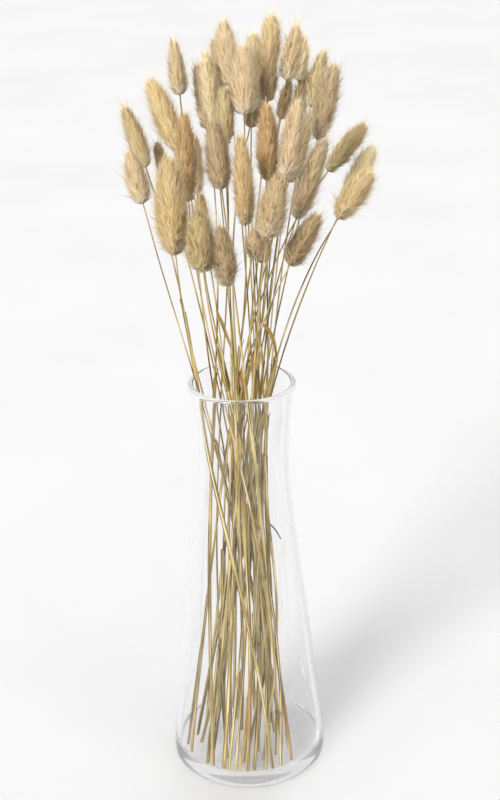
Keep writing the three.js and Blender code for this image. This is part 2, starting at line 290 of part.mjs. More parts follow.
// ---- a stalk: stem, sheath and seed head in one ----
function stalkGeometry(stalk) {
  const base = new THREE.Vector3(...stalk.path.at(-1));
  const tip = new THREE.Vector3(...stalk.tip);
  const axis = new THREE.Vector3().subVectors(tip, base);
  const rings = stalk.path.slice(0, -1).map((p) => {
    const r = p[2] < stalk.sheathTop ? stalk.sheath : stalk.culm;
    return { at: new THREE.Vector3(...p), wide: r, thick: r };
  });
  const below = axis.clone().normalize().multiplyScalar(-HEAD_NECK).add(base);
  rings.push({ at: below, wide: stalk.culm, thick: stalk.culm });
  for (const [share, radius] of HEAD_SHAPE) {
    const at = base.clone().addScaledVector(axis, share);
    rings.push({ at, wide: radius * stalk.head, thick: radius * stalk.head });
  }
  const end = base.clone().addScaledVector(axis, HEAD_END);
  rings.push({ at: end, wide: 0.06 * stalk.head, thick: 0.06 * stalk.head });
  return sweep(rings, STALK_SIDES);
}

function leafGeometry(leaf) {
  const path = leaf.path.map((p) => new THREE.Vector3(...p));
  const rings = path.map((at, i) => ({ at, wide: leaf.half[i], thick: Math.min(leaf.thick, leaf.half[i]) }));
  return sweep(rings, 6, new THREE.Vector3(1, 0.2, 0.1));
}

const group = new THREE.Group();

const vase = new THREE.Mesh(
  geometryOf(solid(vaseGeometry)),
  new THREE.MeshStandardMaterial({ ...GLASS, transparent: true, opacity: 0.3 }),
);
vase.name = "vase";
group.add(vase);

for (const stalk of STALKS) {
  let made = solid(stalkGeometry(stalk));
  for (const leaf of LEAVES)
    if (leaf.on === stalk.name) made = made.add(solid(leafGeometry(leaf)));
  const mesh = new THREE.Mesh(
    geometryOf(made),
    new THREE.MeshStandardMaterial({ color: TONES[stalk.tone], roughness: 0.9, metalness: 0 }),
  );
  mesh.name = stalk.name;
  group.add(mesh);
}

export default group;
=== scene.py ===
# Dried bunny tail grass standing in a clear glass vase. The tables are in millimetres, in the row frame; the meshes are
# in metres.
import math

import bpy
import numpy as np
from mathutils import Matrix, Vector


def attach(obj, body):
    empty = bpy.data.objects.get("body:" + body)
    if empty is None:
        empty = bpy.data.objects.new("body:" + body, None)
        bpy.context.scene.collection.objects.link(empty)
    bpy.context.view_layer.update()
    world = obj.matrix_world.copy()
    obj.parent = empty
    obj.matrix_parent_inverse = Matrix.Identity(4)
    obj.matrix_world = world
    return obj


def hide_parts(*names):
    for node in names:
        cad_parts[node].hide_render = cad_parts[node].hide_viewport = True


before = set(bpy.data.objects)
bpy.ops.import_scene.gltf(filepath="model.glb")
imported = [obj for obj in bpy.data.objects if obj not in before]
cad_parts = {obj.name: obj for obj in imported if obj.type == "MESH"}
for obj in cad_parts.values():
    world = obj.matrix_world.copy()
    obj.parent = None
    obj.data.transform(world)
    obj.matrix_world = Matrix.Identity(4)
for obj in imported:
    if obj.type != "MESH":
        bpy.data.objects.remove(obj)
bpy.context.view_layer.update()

MM = 0.001

# ---------------------------------------------------------------- camera
CAMERA_AT = (0.0, -738.0, 552.0)
PITCH, YAW, ROLL = math.radians(23.05), math.radians(0.35), math.radians(-1.12)
fwd = Vector((math.sin(YAW) * math.cos(PITCH), math.cos(YAW) * math.cos(PITCH), -math.sin(PITCH)))
right = Vector((math.cos(YAW), -math.sin(YAW), 0.0))
up = right.cross(fwd)
cam_x = math.cos(ROLL) * right + math.sin(ROLL) * up
cam_y = -math.sin(ROLL) * right + math.cos(ROLL) * up
camera_data = bpy.data.cameras.new("camera")
camera_data.sensor_fit = "AUTO"
camera_data.sensor_width = 36.0
camera_data.lens = 63.0
camera_data.clip_start, camera_data.clip_end = 0.02, 60.0
camera = bpy.data.objects.new("camera", camera_data)
bpy.context.scene.collection.objects.link(camera)
camera.matrix_world = Matrix.Translation(Vector(CAMERA_AT) * MM) @ Matrix(
    ((cam_x.x, cam_y.x, -fwd.x), (cam_x.y, cam_y.y, -fwd.y), (cam_x.z, cam_y.z, -fwd.z))
).to_4x4()
bpy.context.scene.camera = camera

# ---------------------------------------------------------------- tables
# name, tone, radius of the bare culm, radius of the leaf sheath, height where the sheath ends, width of the seed head's
# fluff, tip of the head, and the stem's path from its cut end to the base of the head
STALKS = [
    ("stalk_01", "tan", 0.58, 1.09, 195, 8.61, (-32.54, 22.64, 437.71),
     [(16, -2, 9.55), (10.4, 5.83, 57.54), (3.87, 11.66, 102.69), (-4.03, 15.34, 150.05), (-9.11, 16.44, 180.21), (-13.19, 16.92, 208.8), (-16.82, 16.85, 238.02), (-19.94, 16.53, 269.4), (-22.29, 16.41, 301.3), (-24.35, 16.57, 332.88), (-27.47, 17.95, 378.85), (-29.92, 20, 409.02)]),
    ("stalk_02", "gold", 0.61, 1.12, 156, 11.26, (-45.02, 7.23, 419.55),
     [(24, -18, 9.54), (20.34, -11.91, 49.83), (14.88, -6.36, 89.59), (5.59, 0.13, 140.65), (0.46, 4.04, 172.02), (-4.34, 5.45, 199.24), (-7.77, 6.19, 226.82), (-10.17, 6.72, 257.41), (-13.05, 6.57, 290.65), (-16.91, 6.1, 321.42), (-24.55, 5.71, 358.99), (-31.45, 6, 382.04)]),
    ("stalk_03", "olive", 0.58, 1.08, 292, 9.28, (-60.4, 18.93, 404.01),
     [(13.46, -38.41, 9.46), (9.59, -36.49, 47.92), (4.56, -33.48, 83.42), (-3.63, -26.64, 128.17), (-10.84, -19.05, 163.48), (-17.23, -11.28, 196.17), (-21.95, -4.94, 223.25), (-25.65, 0.44, 249.57), (-29.69, 5.24, 277.79), (-34.28, 9.13, 305.54), (-42.73, 13.58, 345.43), (-49.88, 16, 371.2)]),
    ("stalk_04", "rose", 0.55, 1.25, 106, 10.68, (-56.28, -9.3, 385.44),
     [(20, -14, 9.52), (16.06, -10.56, 46.21), (10.84, -7.46, 83.11), (1.88, -4.52, 129.81), (-5.08, -3.39, 160.99), (-11.48, -3.22, 188.71), (-16.9, -3.44, 212.87), (-22.41, -3.88, 237.12), (-28.34, -4.32, 261.25), (-35.07, -5.09, 288.7), (-44.92, -6.75, 330.26), (-50.72, -8, 357.33)]),
    ("stalk_05", "amber", 0.57, 0.97, 173, 9.43, (-26.23, -27.94, 409.31),
     [(16, -24, 9.36), (16.36, -24.62, 49.68), (15.15, -24.52, 86.23), (11.26, -23.16, 127.15), (6.8, -21.35, 157.53), (1.4, -19.19, 188.13), (-4.15, -17.41, 216.58), (-9.55, -16.4, 243.16), (-14.89, -16.13, 270.82), (-19.52, -16.78, 297.91), (-24.32, -19.34, 336.52), (-25.78, -22, 361.89)]),
    ("stalk_06", "rose", 0.58, 0.98, 197, 7.91, (-23.16, 42.89, 381.9),
     [(18.28, -34.7, 9.6), (19.06, -22.56, 53.74), (17.49, -13.95, 84.99), (12.69, -3, 127.76), (8.86, 6.73, 158.6), (2.07, 12.81, 185.19), (-3.62, 16.93, 209.7), (-9.12, 20.23, 234.35), (-14.33, 23.27, 260.73), (-18.5, 26.35, 288.1), (-22, 31.49, 325.88), (-22.93, 36, 350.44)]),
    ("stalk_07", "dark", 0.64, 1.11, 107, 6.68, (-44.24, 31.13, 380.68),
     [(24.79, -30.15, 9.63), (20.79, -20.81, 47.97), (15.75, -12.64, 82.49), (5.13, -2.17, 131.81), (-0.65, 4.29, 164.69), (-5.56, 8.67, 192.26), (-9.83, 12.25, 216.84), (-14.08, 15.33, 241.11), (-19.01, 18.18, 267.71), (-24.63, 20.62, 295.14), (-33.57, 24.53, 335.51), (-39.65, 28, 361.42)]),
    ("stalk_08", "gold", 0.55, 1.45, 209, 15.12, (-34.25, -48.52, 391.08),
     [(4, 24, 9.39), (2.76, 24.71, 47.86), (0.71, 24.11, 81.46), (-2.81, 21.2, 117.51), (-6.21, 17.38, 144.03), (-10.08, 12.12, 171.05), (-13.84, 5.81, 196.91), (-17.88, -1.13, 222.03), (-22.14, -8.45, 246.26), (-26.87, -17.83, 275.51), (-31.59, -29.69, 313.97), (-33.09, -36, 337.47)]),
    ("stalk_09", "olive", 0.55, 1.29, 256, 13.47, (-19.57, -54.22, 364.17),
     [(14, 10, 9.38), (14.07, 8.9, 45.87), (13, 7.06, 80.55), (9.96, 3.45, 119.19), (8.12, -0.46, 146.57), (6.23, -4.18, 172.46), (2.86, -8.21, 195.87), (-1.29, -12.94, 219.38), (-5.97, -18.71, 243.21), (-10.88, -25.61, 268.86), (-16.65, -36.83, 306.87), (-18.53, -44, 330.38)]),
    ("stalk_10", "gold", 0.6, 1.25, 260, 8.04, (-20.91, 45.02, 347.86),
     [(9.1, -39.48, 9.61), (10.59, -30.83, 48.77), (10.79, -24.45, 77.44), (9.03, -15.99, 113.43), (6.16, -8.76, 142.25), (3.17, -1.46, 171.85), (1.41, 5.51, 199.01), (-3.12, 11.59, 223.2), (-9.15, 17.85, 247.61), (-14.43, 24.42, 271.73), (-19.76, 32.78, 303), (-21.02, 38, 322.28)]),
    ("stalk_11", "taupe", 0.64, 1.17, 226, 10.38, (-9.03, -57.56, 357.48),
     [(-5, 2, 9.46), (-3.86, -1.57, 44.76), (-3.12, -5.57, 83.5), (-3.09, -9.58, 121.75), (-3.25, -12.23, 146.39), (-3.51, -14.88, 169.93), (-3.66, -17.66, 192.67), (-3.7, -20.65, 214.73), (-3.67, -23.82, 236.75), (-3.85, -28.2, 259.16), (-4.95, -38.33, 298.09), (-6.38, -46, 322.94)]),
    ("stalk_12", "taupe", 0.64, 1.15, 260, 11.45, (-11.65, -28.89, 404.99),
     [(12, -12, 9.44), (12.6, -15.44, 51.1), (12.82, -18.47, 93.55), (11.77, -20.25, 134.07), (10.2, -20.69, 161.39), (8.05, -20.61, 189.18), (5.54, -20.2, 217.14), (2.81, -19.73, 245.53), (0.37, -19.22, 273.85), (-2.13, -19.38, 301.54), (-5.85, -21.3, 341.83), (-8.31, -24, 368.45)]),
    ("stalk_13", "russet", 0.62, 1.23, 248, 7.12, (-21, 30.55, 423.83),
     [(-22.19, -34, 9.55), (-22.01, -26.17, 53.99), (-21.75, -18.9, 93.28), (-21, -9.88, 139.56), (-19.95, -3.63, 171.35), (-18.69, 2.3, 202.33), (-16.51, 7.29, 232.84), (-14.37, 11.56, 262.81), (-12.76, 15.14, 291.79), (-12, 18.3, 320.56), (-13.19, 22.74, 361.97), (-15.96, 26, 389.29)]),
    ("stalk_14", "cream", 0.55, 1.7, 191, 7.99, (-15.34, 7.09, 434.14),
     [(-1.44, -40.16, 9.57), (0.62, -34.57, 53.62), (1.43, -28.84, 92.7), (0.8, -21.75, 140.69), (-0.34, -16.28, 174.87), (-1.75, -11.12, 206.86), (-2.73, -6.76, 235.85), (-3.77, -3.02, 264.43), (-5.15, -0.03, 292.66), (-6.82, 2.37, 321.83), (-9.9, 4.91, 366.73), (-12.26, 6, 396.69)]),
    ("stalk_15", "olive", 0.63, 1.32, 82, 7.02, (-10.94, 25.01, 437.23),
     [(-14, -26, 9.61), (-16.07, -15.67, 59.64), (-17.15, -6.61, 103.77), (-17.05, 1.84, 149.38), (-16.12, 6.48, 178.9), (-14.4, 10.24, 208.52), (-11.94, 13.19, 239.86), (-9.3, 15.23, 271.5), (-6.97, 16.59, 303.54), (-5.54, 17.68, 334.87), (-5.78, 19.74, 379.06), (-7.79, 22, 407.86)]),
    ("stalk_16", "rose", 0.61, 1.01, 167, 10.62, (-5.39, 13.79, 448.24),
     [(5.23, -20.28, 9.53), (7.01, -10.36, 61.29), (6.83, -2.32, 105.22), (6.05, 4.37, 151.73), (6.82, 8.27, 182.07), (6.58, 10.25, 212.03), (6.29, 11.52, 242.09), (5.4, 11.98, 273.4), (3.98, 11.78, 305.52), (2.11, 11.3, 337.7), (-1.08, 11.11, 384.59), (-3.19, 12, 415.16)]),
    ("stalk_17", "olive", 0.56, 1, 271, 8.41, (-5.61, -9.2, 417.9),
     [(-12, -12, 9.39), (-11.02, -10.12, 54.32), (-10.4, -8.34, 97.1), (-9.85, -6.64, 140.44), (-9.22, -5.58, 169.8), (-7.43, -4.13, 199.53), (-6.14, -3.2, 228.31), (-5.65, -3.06, 256.7), (-5.41, -3.54, 285.45), (-5.4, -4.55, 314.65), (-5.67, -6.64, 358.81), (-5.73, -8, 388.05)]),
    ("stalk_18", "cream", 0.59, 1.01, 195, 10.95, (10.8, 38.66, 437.5),
     [(8, -30, 9.64), (15.83, -14.72, 64.73), (18.18, -4.26, 102.43), (14.85, 6.78, 150.75), (11.37, 11.16, 180.15), (10.5, 15.57, 209.3), (9.75, 19.28, 239.27), (8.99, 22.19, 270.96), (8.32, 24.38, 301.74), (7.86, 26.44, 332.98), (8.07, 30.25, 378.34), (9.13, 34, 407.96)]),
    ("stalk_19", "rose", 0.55, 1.13, 123, 13.03, (4.42, -9.32, 438.95),
     [(4, 12, 9.52), (8.84, 19.14, 62.93), (10.87, 22.32, 102.92), (11.15, 22.7, 142.57), (10.48, 21.17, 171.54), (9.31, 18.01, 202.74), (8.09, 13.51, 234.92), (7.5, 8.09, 267.56), (6.94, 2.92, 299.28), (5.88, -1.33, 329.68), (4.57, -6.11, 374.18), (4.25, -8, 403.82)]),
    ("stalk_20", "gold", 0.63, 1.26, 267, 9.69, (20.05, 28.95, 448.7),
     [(-15.59, -37.51, 9.6), (-11.83, -28.02, 57.93), (-8.87, -18.86, 102.97), (-6.7, -8.15, 156.47), (-6.03, -1.66, 191.51), (-5.46, 3.57, 223.44), (-2.39, 7.97, 252.19), (1.59, 11.82, 281.13), (6.23, 15.3, 311.97), (10.8, 18.41, 343.83), (16.32, 22.8, 391.42), (18.69, 26, 422.62)]),
    ("stalk_21", "dark", 0.62, 1.31, 223, 9.03, (18.39, 9.04, 434.79),
     [(-4.57, -21.02, 9.58), (2.56, -14.56, 60.91), (7.05, -9.52, 103.3), (10.12, -4.11, 146.95), (10.47, 0.01, 177.77), (13.14, 2.81, 208.32), (14.49, 4.66, 238.61), (15.26, 5.79, 268.78), (15.52, 6.4, 299.44), (15.56, 6.72, 330.44), (15.96, 7.24, 376.53), (16.95, 8, 406.84)]),
    ("stalk_22", "dark", 0.63, 1.25, 251, 8.37, (14.85, 44.76, 408.59),
     [(2.23, -39.33, 9.67), (5.69, -27.22, 56.36), (6.77, -17.41, 93.65), (5.29, -5.05, 140.39), (2.6, 3.62, 173.37), (0.41, 10.73, 203.79), (-1.47, 17.12, 234.16), (-3.3, 22.22, 266.83), (-3.87, 26.75, 300.27), (-2.56, 30.64, 329.8), (2.19, 35.86, 364.32), (7.73, 40, 386.37)]),
    ("stalk_23", "tan", 0.62, 0.96, 202, 9, (33.06, 11.24, 445.03),
     [(-22.75, -28.87, 9.48), (-17.74, -24.23, 57.04), (-12.99, -19.04, 102.03), (-7.69, -12.03, 151.01), (-3.7, -6.32, 184.98), (-0.1, -1.1, 218.08), (2.84, 3.15, 248.9), (5.39, 6.22, 277.89), (9.04, 7.92, 308.1), (13.5, 8.68, 339.39), (21.42, 9.19, 386.69), (27.36, 10, 417.42)]),
    ("stalk_24", "cream", 0.57, 1.09, 82, 6.56, (37.88, 37.61, 436.32),
     [(-25.43, -31.65, 9.63), (-19.89, -19.18, 59.56), (-14.43, -8.03, 105.19), (-7.55, 2.91, 152.88), (-2.02, 9.21, 183.41), (3.67, 14.35, 213.64), (9.26, 18.2, 244.22), (14.13, 21.14, 273.93), (18.71, 23.45, 305.1), (23.3, 25.63, 336.71), (30.18, 29.51, 382.69), (34.91, 34, 412.86)]),
    ("stalk_25", "dark", 0.63, 1.02, 189, 6.66, (30.3, 41.97, 411.52),
     [(-8.62, -39.68, 9.57), (-4.17, -29.84, 55.48), (-1.12, -21.23, 94.39), (1.55, -10.8, 141.1), (3.33, -3.77, 173.9), (5.92, 2.7, 205.03), (8.36, 8.12, 235.49), (10.31, 13.3, 265.95), (11.81, 18.56, 295.75), (13.95, 23.96, 324.53), (19.37, 32.64, 365.19), (24.94, 38, 391.12)]),
    ("stalk_26", "olive", 0.57, 1.35, 219, 8.04, (47.29, 15.92, 431.21),
     [(0, -12, 9.69), (12.02, -2.22, 67.64), (15.04, 3.65, 103.78), (13.64, 9.43, 144.49), (13.19, 12.76, 174.1), (14.01, 14.74, 203.81), (15.95, 15.58, 234.58), (18.8, 15.41, 266.12), (22.39, 14.54, 297.97), (26.63, 13.53, 329.31), (34.21, 13.01, 373.78), (40.38, 14, 402.52)]),
    ("stalk_27", "taupe", 0.55, 1.01, 120, 10.51, (51.46, -9.57, 428.77),
     [(-22, -18, 9.52), (-15.15, -13.73, 55.37), (-9.4, -10.47, 98.41), (-4.04, -7.77, 141.87), (-0.3, -6.22, 171.62), (3.96, -5.04, 202.18), (9, -4.39, 232.21), (14.62, -4.07, 260.85), (20.44, -4.3, 288.7), (26.6, -5.03, 317.24), (36.16, -6.74, 360.71), (42.65, -8, 389.73)]),
    ("stalk_28", "taupe", 0.58, 1.05, 221, 7.73, (39.52, 38.46, 418.2),
     [(-6.22, -40.13, 9.58), (-0.38, -31.12, 56.17), (3.57, -23.09, 94.95), (6.89, -12.59, 141.55), (8.8, -4.74, 175.27), (10.14, 2.65, 206.73), (12.84, 8.86, 235.47), (15.88, 14.24, 263.57), (19.18, 19, 291.79), (22.75, 23.42, 320.86), (28.71, 29.7, 364.45), (33.71, 34, 392.09)]),
    ("stalk_29", "rose", 0.59, 1.09, 262, 10.38, (31.85, -29.35, 415.29),
     [(-8, 14, 9.51), (-2.24, 18.96, 59.49), (1.37, 20.81, 97.96), (3.82, 20.31, 133.48), (5.31, 18.43, 159.09), (6.9, 15.03, 186.94), (8.9, 9.96, 216.69), (11.38, 3.58, 246.65), (14.14, -3.59, 277.03), (17.12, -10.63, 306.34), (21.92, -19.55, 347.48), (25.58, -24, 374.08)]),
    ("stalk_30", "olive", 0.57, 0.97, 113, 9.96, (39.97, 26.87, 396.71),
     [(-35.39, -19.9, 9.58), (-30.34, -9.55, 54.22), (-25.59, -1.31, 93.25), (-20.26, 5.76, 133.42), (-16.52, 9.37, 159.05), (-12.36, 12.24, 184.95), (-7.23, 14.67, 212.97), (-1.44, 15.84, 242.68), (4.7, 16.61, 270.69), (11.25, 17.43, 297.73), (21.41, 19.57, 335.4), (28.59, 22, 359.77)]),
    ("stalk_31", "amber", 0.61, 1.3, 262, 10.48, (15.65, -22, 411.98),
     [(-20, 18, 9.51), (-15.58, 15.4, 49.42), (-11.15, 11.99, 91.04), (-6.76, 7.51, 133.6), (-3.76, 4.02, 162.07), (-0.36, 0.85, 190.53), (3.54, -2.12, 219.57), (7.16, -5.27, 248.03), (10.38, -8.28, 275.8), (13.19, -11.03, 303.43), (15.71, -15.27, 344.17), (16.14, -18, 371.24)]),
    ("stalk_32", "gold", 0.61, 1.6, 140, 9.39, (1.81, -38.91, 399.5),
     [(-16, 4, 9.37), (-15.35, 4.56, 50.76), (-14.71, 4.43, 89.69), (-13.77, 3.13, 127.81), (-12.78, 1.52, 152.83), (-11.32, -0.66, 178.2), (-9.3, -4, 205.11), (-5.85, -8.16, 233.57), (-2.27, -12.71, 260.71), (0.97, -17.87, 288.48), (3.64, -25.29, 326.31), (3.78, -30, 350.82)]),
    ("stalk_33", "tan", 0.57, 1.01, 270, 12.87, (21.02, -50.85, 380.44),
     [(-24, -3, 9.46), (-19.68, -2.07, 49.32), (-14.52, -2.39, 89.19), (-8.67, -4.47, 127.56), (-4.8, -6.51, 153.07), (-1.44, -9.23, 178.66), (1.65, -12.72, 205.03), (4.25, -16.33, 231.4), (6.28, -20.71, 256.67), (8.25, -26.36, 283.92), (11.77, -35.6, 322.49), (15.16, -42, 347.08)]),
    ("stalk_34", "cream", 0.61, 1.15, 67, 7.38, (23.92, 38.75, 362.83),
     [(-12.84, -38.53, 9.64), (-7.89, -28.78, 50.64), (-4.53, -21.01, 82.8), (-1.38, -11.77, 120.45), (0.45, -4.97, 147.88), (2.25, 1.7, 175.14), (3.91, 8.07, 200.51), (5.94, 13.09, 224.87), (8.74, 17.63, 249.08), (11.95, 21.83, 272.17), (17.22, 28.28, 307.82), (19.13, 32, 332)]),
    ("stalk_35", "rose", 0.58, 1.35, 207, 6.32, (8.37, -33.06, 347.56),
     [(6, 0, 9.44), (8.69, 1.34, 50.79), (10.74, 1.93, 88.48), (13.36, 1.5, 124.7), (14.61, 0.51, 148.55), (13.25, -2.54, 172.05), (12.92, -4.9, 195.04), (12.65, -7.8, 218.75), (12.16, -11.35, 243.09), (11.39, -15.62, 268.01), (9.64, -24.23, 307.36), (8.69, -30, 332.51)]),
    ("stalk_36", "rose", 0.62, 1.19, 98, 8.54, (15.58, 29.07, 326.47),
     [(-4, -31, 9.63), (0.49, -21.81, 50.55), (2.99, -14.92, 81.41), (4.66, -7.52, 115.19), (5, -2.52, 139.68), (6.77, 3.1, 165.12), (9.43, 7.55, 189.74), (10.83, 11.65, 215.32), (10.27, 15.03, 239.78), (9.76, 18.23, 263.64), (10.6, 22.61, 292.94), (12.85, 26, 311.51)]),
    ("stalk_37", "taupe", 0.57, 1.04, 139, 10.57, (45.43, -25.46, 393.84),
     [(-28, 8, 9.46), (-23.6, 10.02, 50.15), (-19.19, 10.8, 88.65), (-14.39, 9.77, 126.48), (-10.74, 8.01, 152.03), (-6.6, 5.38, 178.21), (-1.45, 2.23, 206.54), (4.3, -1.25, 235.91), (9.76, -5.27, 263.57), (15.33, -10.07, 290.75), (24.17, -16.49, 327.48), (30.99, -20, 350.65)]),
    ("stalk_38", "dark", 0.63, 1.5, 270, 11.03, (41.25, -41.41, 358.26),
     [(-10, 26, 9.48), (-8.25, 29.67, 54.44), (-7.37, 30.29, 86.28), (-6.85, 28.65, 114.62), (-6.49, 25.8, 136.54), (-5.8, 20.63, 162.89), (-4.63, 11.83, 194.56), (-1.52, -0.26, 229.6), (3.24, -10.86, 257.98), (9.11, -20.06, 282.54), (18.78, -28.87, 310.98), (26.96, -34, 329.62)]),
    ("stalk_39", "olive", 0.58, 1, 211, 9.36, (70.92, 23.48, 390.21),
     [(-38, -12, 9.61), (-30.85, 0.15, 59.49), (-25.07, 8.36, 99.65), (-19.98, 13.97, 135.98), (-16.44, 16.76, 160.78), (-11.54, 19.12, 191.98), (-4.14, 20.51, 230.89), (7.12, 19.88, 276.03), (20.19, 18.61, 313.43), (30.5, 18.32, 335.35), (41.34, 18.89, 353.49), (50.31, 20, 365.7)]),
    ("stalk_40", "cream", 0.6, 1.17, 194, 9.92, (74.28, 16.59, 379.02),
     [(-30, -10, 9.65), (-18.9, -5.82, 52.49), (-10.11, -1.43, 92.52), (-3.36, 2.7, 130.02), (1.1, 5.08, 155.39), (5.33, 6.42, 180.88), (9.83, 7.28, 206.5), (14.97, 8.43, 229.6), (22.7, 9.56, 258.08), (31.36, 10.52, 284.47), (47.6, 12.26, 325.12), (59.62, 14, 350.45)]),
    ("stalk_41", "gold", 0.61, 1.3, 263, 11.6, (69.27, -25.92, 376.25),
     [(-33, -2, 9.6), (-25.19, -0.41, 48.85), (-17.23, 0.59, 88.83), (-9.49, 0.7, 127.81), (-4.45, 0.14, 154.32), (0.81, -1.24, 182.86), (7.73, -3.08, 214.52), (15.04, -6.35, 247.42), (22.8, -10.39, 277.8), (30.99, -14.37, 303.57), (43.02, -19.1, 332.37), (52.9, -22, 350.46)]),
]

# host stalk, kind, half width at each point of the path, half thickness, path
LEAVES = [
    ("stalk_17", "blade", [0.5, 0.85, 0.95, 0.6, 0.12], 0.24,
     [(-5.52, -3.31, 271.87), (-8.01, -5.58, 280.62), (-10.2, -6.98, 288.45), (-12.52, -7.58, 294.58), (-13.03, -7.78, 300.03)]),
    ("stalk_41", "blade", [0.6, 1, 0.95, 0.85, 0.8, 0.7, 0.12], 0.24,
     [(20.04, -8.95, 267.01), (18.36, -12.04, 278.28), (16.89, -13.31, 282.91), (15.09, -14.33, 286.61), (12.91, -14.84, 288.84), (11.39, -15.35, 291.09), (11.36, -15.35, 296.2)]),
    ("stalk_38", "flag", [0.7, 1.1, 0.8, 0.12], 0.3,
     [(2.9, -10.12, 256), (3.38, -13.82, 264), (5.84, -18.61, 276), (10.74, -23.37, 290)]),
    ("stalk_12", "stub", [0.5, 0.75, 0.4], 0.3,
     [(2.69, -19.7, 247), (0.8, -20.26, 255), (-0.68, -20.29, 264)]),
    ("stalk_26", "twig", [0.42, 0.38, 0.3], 0.38,
     [(13.49, 10.54, 154.36), (18.46, 9.94, 148.99), (22.25, 9.34, 142.44)]),
]

# tone of a head's fluff: pale side, middle, streaks, tips (sRGB); the streak colour also paints shade at the hair roots
TONES = {
    "cream": ((239, 232, 214), (229, 213, 163), (198, 151, 82), (245, 236, 213)),
    "gold": ((234, 221, 196), (219, 195, 132), (170, 119, 53), (240, 228, 197)),
    "tan": ((231, 217, 198), (212, 190, 139), (167, 119, 62), (240, 228, 200)),
    "olive": ((227, 217, 186), (207, 186, 125), (156, 113, 50), (238, 226, 195)),
    "rose": ((235, 223, 206), (219, 196, 148), (174, 125, 71), (242, 231, 206)),
    "taupe": ((218, 205, 182), (195, 170, 120), (146, 102, 52), (233, 221, 193)),
    "amber": ((220, 199, 162), (202, 165, 101), (156, 102, 44), (234, 217, 183)),
    "russet": ((222, 205, 176), (204, 173, 119), (154, 102, 49), (237, 223, 194)),
    "dark": ((214, 199, 170), (185, 157, 104), (137, 96, 44), (231, 217, 187)),
}

# one head's own shape: where it is widest along its length, how full its base is, how blunt its tip is, share of long
# awns that stand out
SHAPES = {
    "stalk_01": (0.38, 0.45, 0.25, 0.2),
    "stalk_02": (0.45, 0.4, 0.7, 0.9),
    "stalk_03": (0.42, 0.45, 0.5, 0.5),
    "stalk_04": (0.4, 0.6, 0.4, 0.4),
    "stalk_05": (0.45, 0.4, 0.5, 0.5),
    "stalk_06": (0.42, 0.5, 0.5, 0.4),
    "stalk_07": (0.45, 0.5, 0.4, 0.3),
    "stalk_08": (0.46, 0.6, 0.55, 0.8),
    "stalk_09": (0.42, 0.6, 0.45, 0.4),
    "stalk_10": (0.42, 0.5, 0.5, 0.3),
    "stalk_11": (0.4, 0.6, 0.5, 0.3),
    "stalk_12": (0.42, 0.5, 0.6, 0.6),
    "stalk_13": (0.4, 0.5, 0.5, 0.9),
    "stalk_14": (0.45, 0.5, 0.5, 0.6),
    "stalk_15": (0.45, 0.5, 0.55, 0.8),
    "stalk_16": (0.42, 0.45, 0.45, 0.9),
    "stalk_17": (0.5, 0.4, 0.8, 0.3),
    "stalk_18": (0.42, 0.5, 0.5, 0.6),
    "stalk_19": (0.34, 0.75, 0.5, 0.4),
    "stalk_20": (0.45, 0.5, 0.75, 0.7),
    "stalk_21": (0.42, 0.5, 0.5, 0.5),
    "stalk_22": (0.42, 0.5, 0.5, 0.4),
    "stalk_23": (0.42, 0.5, 0.7, 0.8),
    "stalk_24": (0.42, 0.5, 0.5, 0.6),
    "stalk_25": (0.42, 0.5, 0.4, 0.3),
    "stalk_26": (0.45, 0.5, 0.55, 0.7),
    "stalk_27": (0.45, 0.5, 0.55, 0.9),
    "stalk_28": (0.42, 0.5, 0.5, 0.4),
    "stalk_29": (0.4, 0.6, 0.55, 0.4),
    "stalk_30": (0.42, 0.5, 0.5, 0.4),
    "stalk_31": (0.42, 0.55, 0.45, 0.4),
    "stalk_32": (0.42, 0.5, 0.45, 0.6),
    "stalk_33": (0.42, 0.6, 0.5, 0.6),
    "stalk_34": (0.42, 0.5, 0.5, 0.4),
    "stalk_35": (0.4, 0.6, 0.5, 0.3),
    "stalk_36": (0.4, 0.6, 0.5, 0.3),
    "stalk_37": (0.42, 0.5, 0.5, 0.5),
    "stalk_38": (0.42, 0.55, 0.5, 0.4),
    "stalk_39": (0.5, 0.4, 0.7, 0.8),
    "stalk_40": (0.5, 0.4, 0.7, 0.8),
    "stalk_41": (0.5, 0.5, 0.8, 0.9),
}

# ---------------------------------------------------------------- small maths
def unit(a):
    return a / np.maximum(np.linalg.norm(a, axis=-1, keepdims=True), 1e-12)


def spline(points, step):
    """A smooth curve through the points, at about this step, with the arc length at each sample."""
    p = np.asarray(points, float)
    t = np.concatenate([[0.0], np.cumsum(np.linalg.norm(np.diff(p, axis=0), axis=1))])
    d = np.diff(p, axis=0) / np.diff(t)[:, None]
    m = np.empty_like(p)
    m[0], m[-1] = d[0], d[-1]
    if len(p) > 2:
        a, b = np.diff(t)[:-1, None], np.diff(t)[1:, None]
        m[1:-1] = (d[:-1] * b + d[1:] * a) / (a + b)
    s = np.linspace(0, t[-1], max(3, int(round(t[-1] / step)) + 1))
    k = np.clip(np.searchsorted(t, s, side="right") - 1, 0, len(p) - 2)
    h = (t[k + 1] - t[k])[:, None]
    x = ((s - t[k])[:, None]) / h
    c = (
        (2 * x**3 - 3 * x**2 + 1) * p[k]
        + (x**3 - 2 * x**2 + x) * h * m[k]
        + (-2 * x**3 + 3 * x**2) * p[k + 1]
        + (x**3 - x**2) * h * m[k + 1]
    )
    arc = np.concatenate([[0.0], np.cumsum(np.linalg.norm(np.diff(c, axis=0), axis=1))])
    return c, arc


def frames(c, side=(1.0, 0.0, 0.0)):
    """Tangent and two axes square to it along a curve, without twist."""
    tan = unit(np.gradient(c, axis=0))
    u = np.empty_like(c)
    s = np.asarray(side, float)
    for i in range(len(c)):
        s = s - tan[i] * (s @ tan[i])
        s = s / np.linalg.norm(s)
        u[i] = s
    return tan, u, np.cross(tan, u)


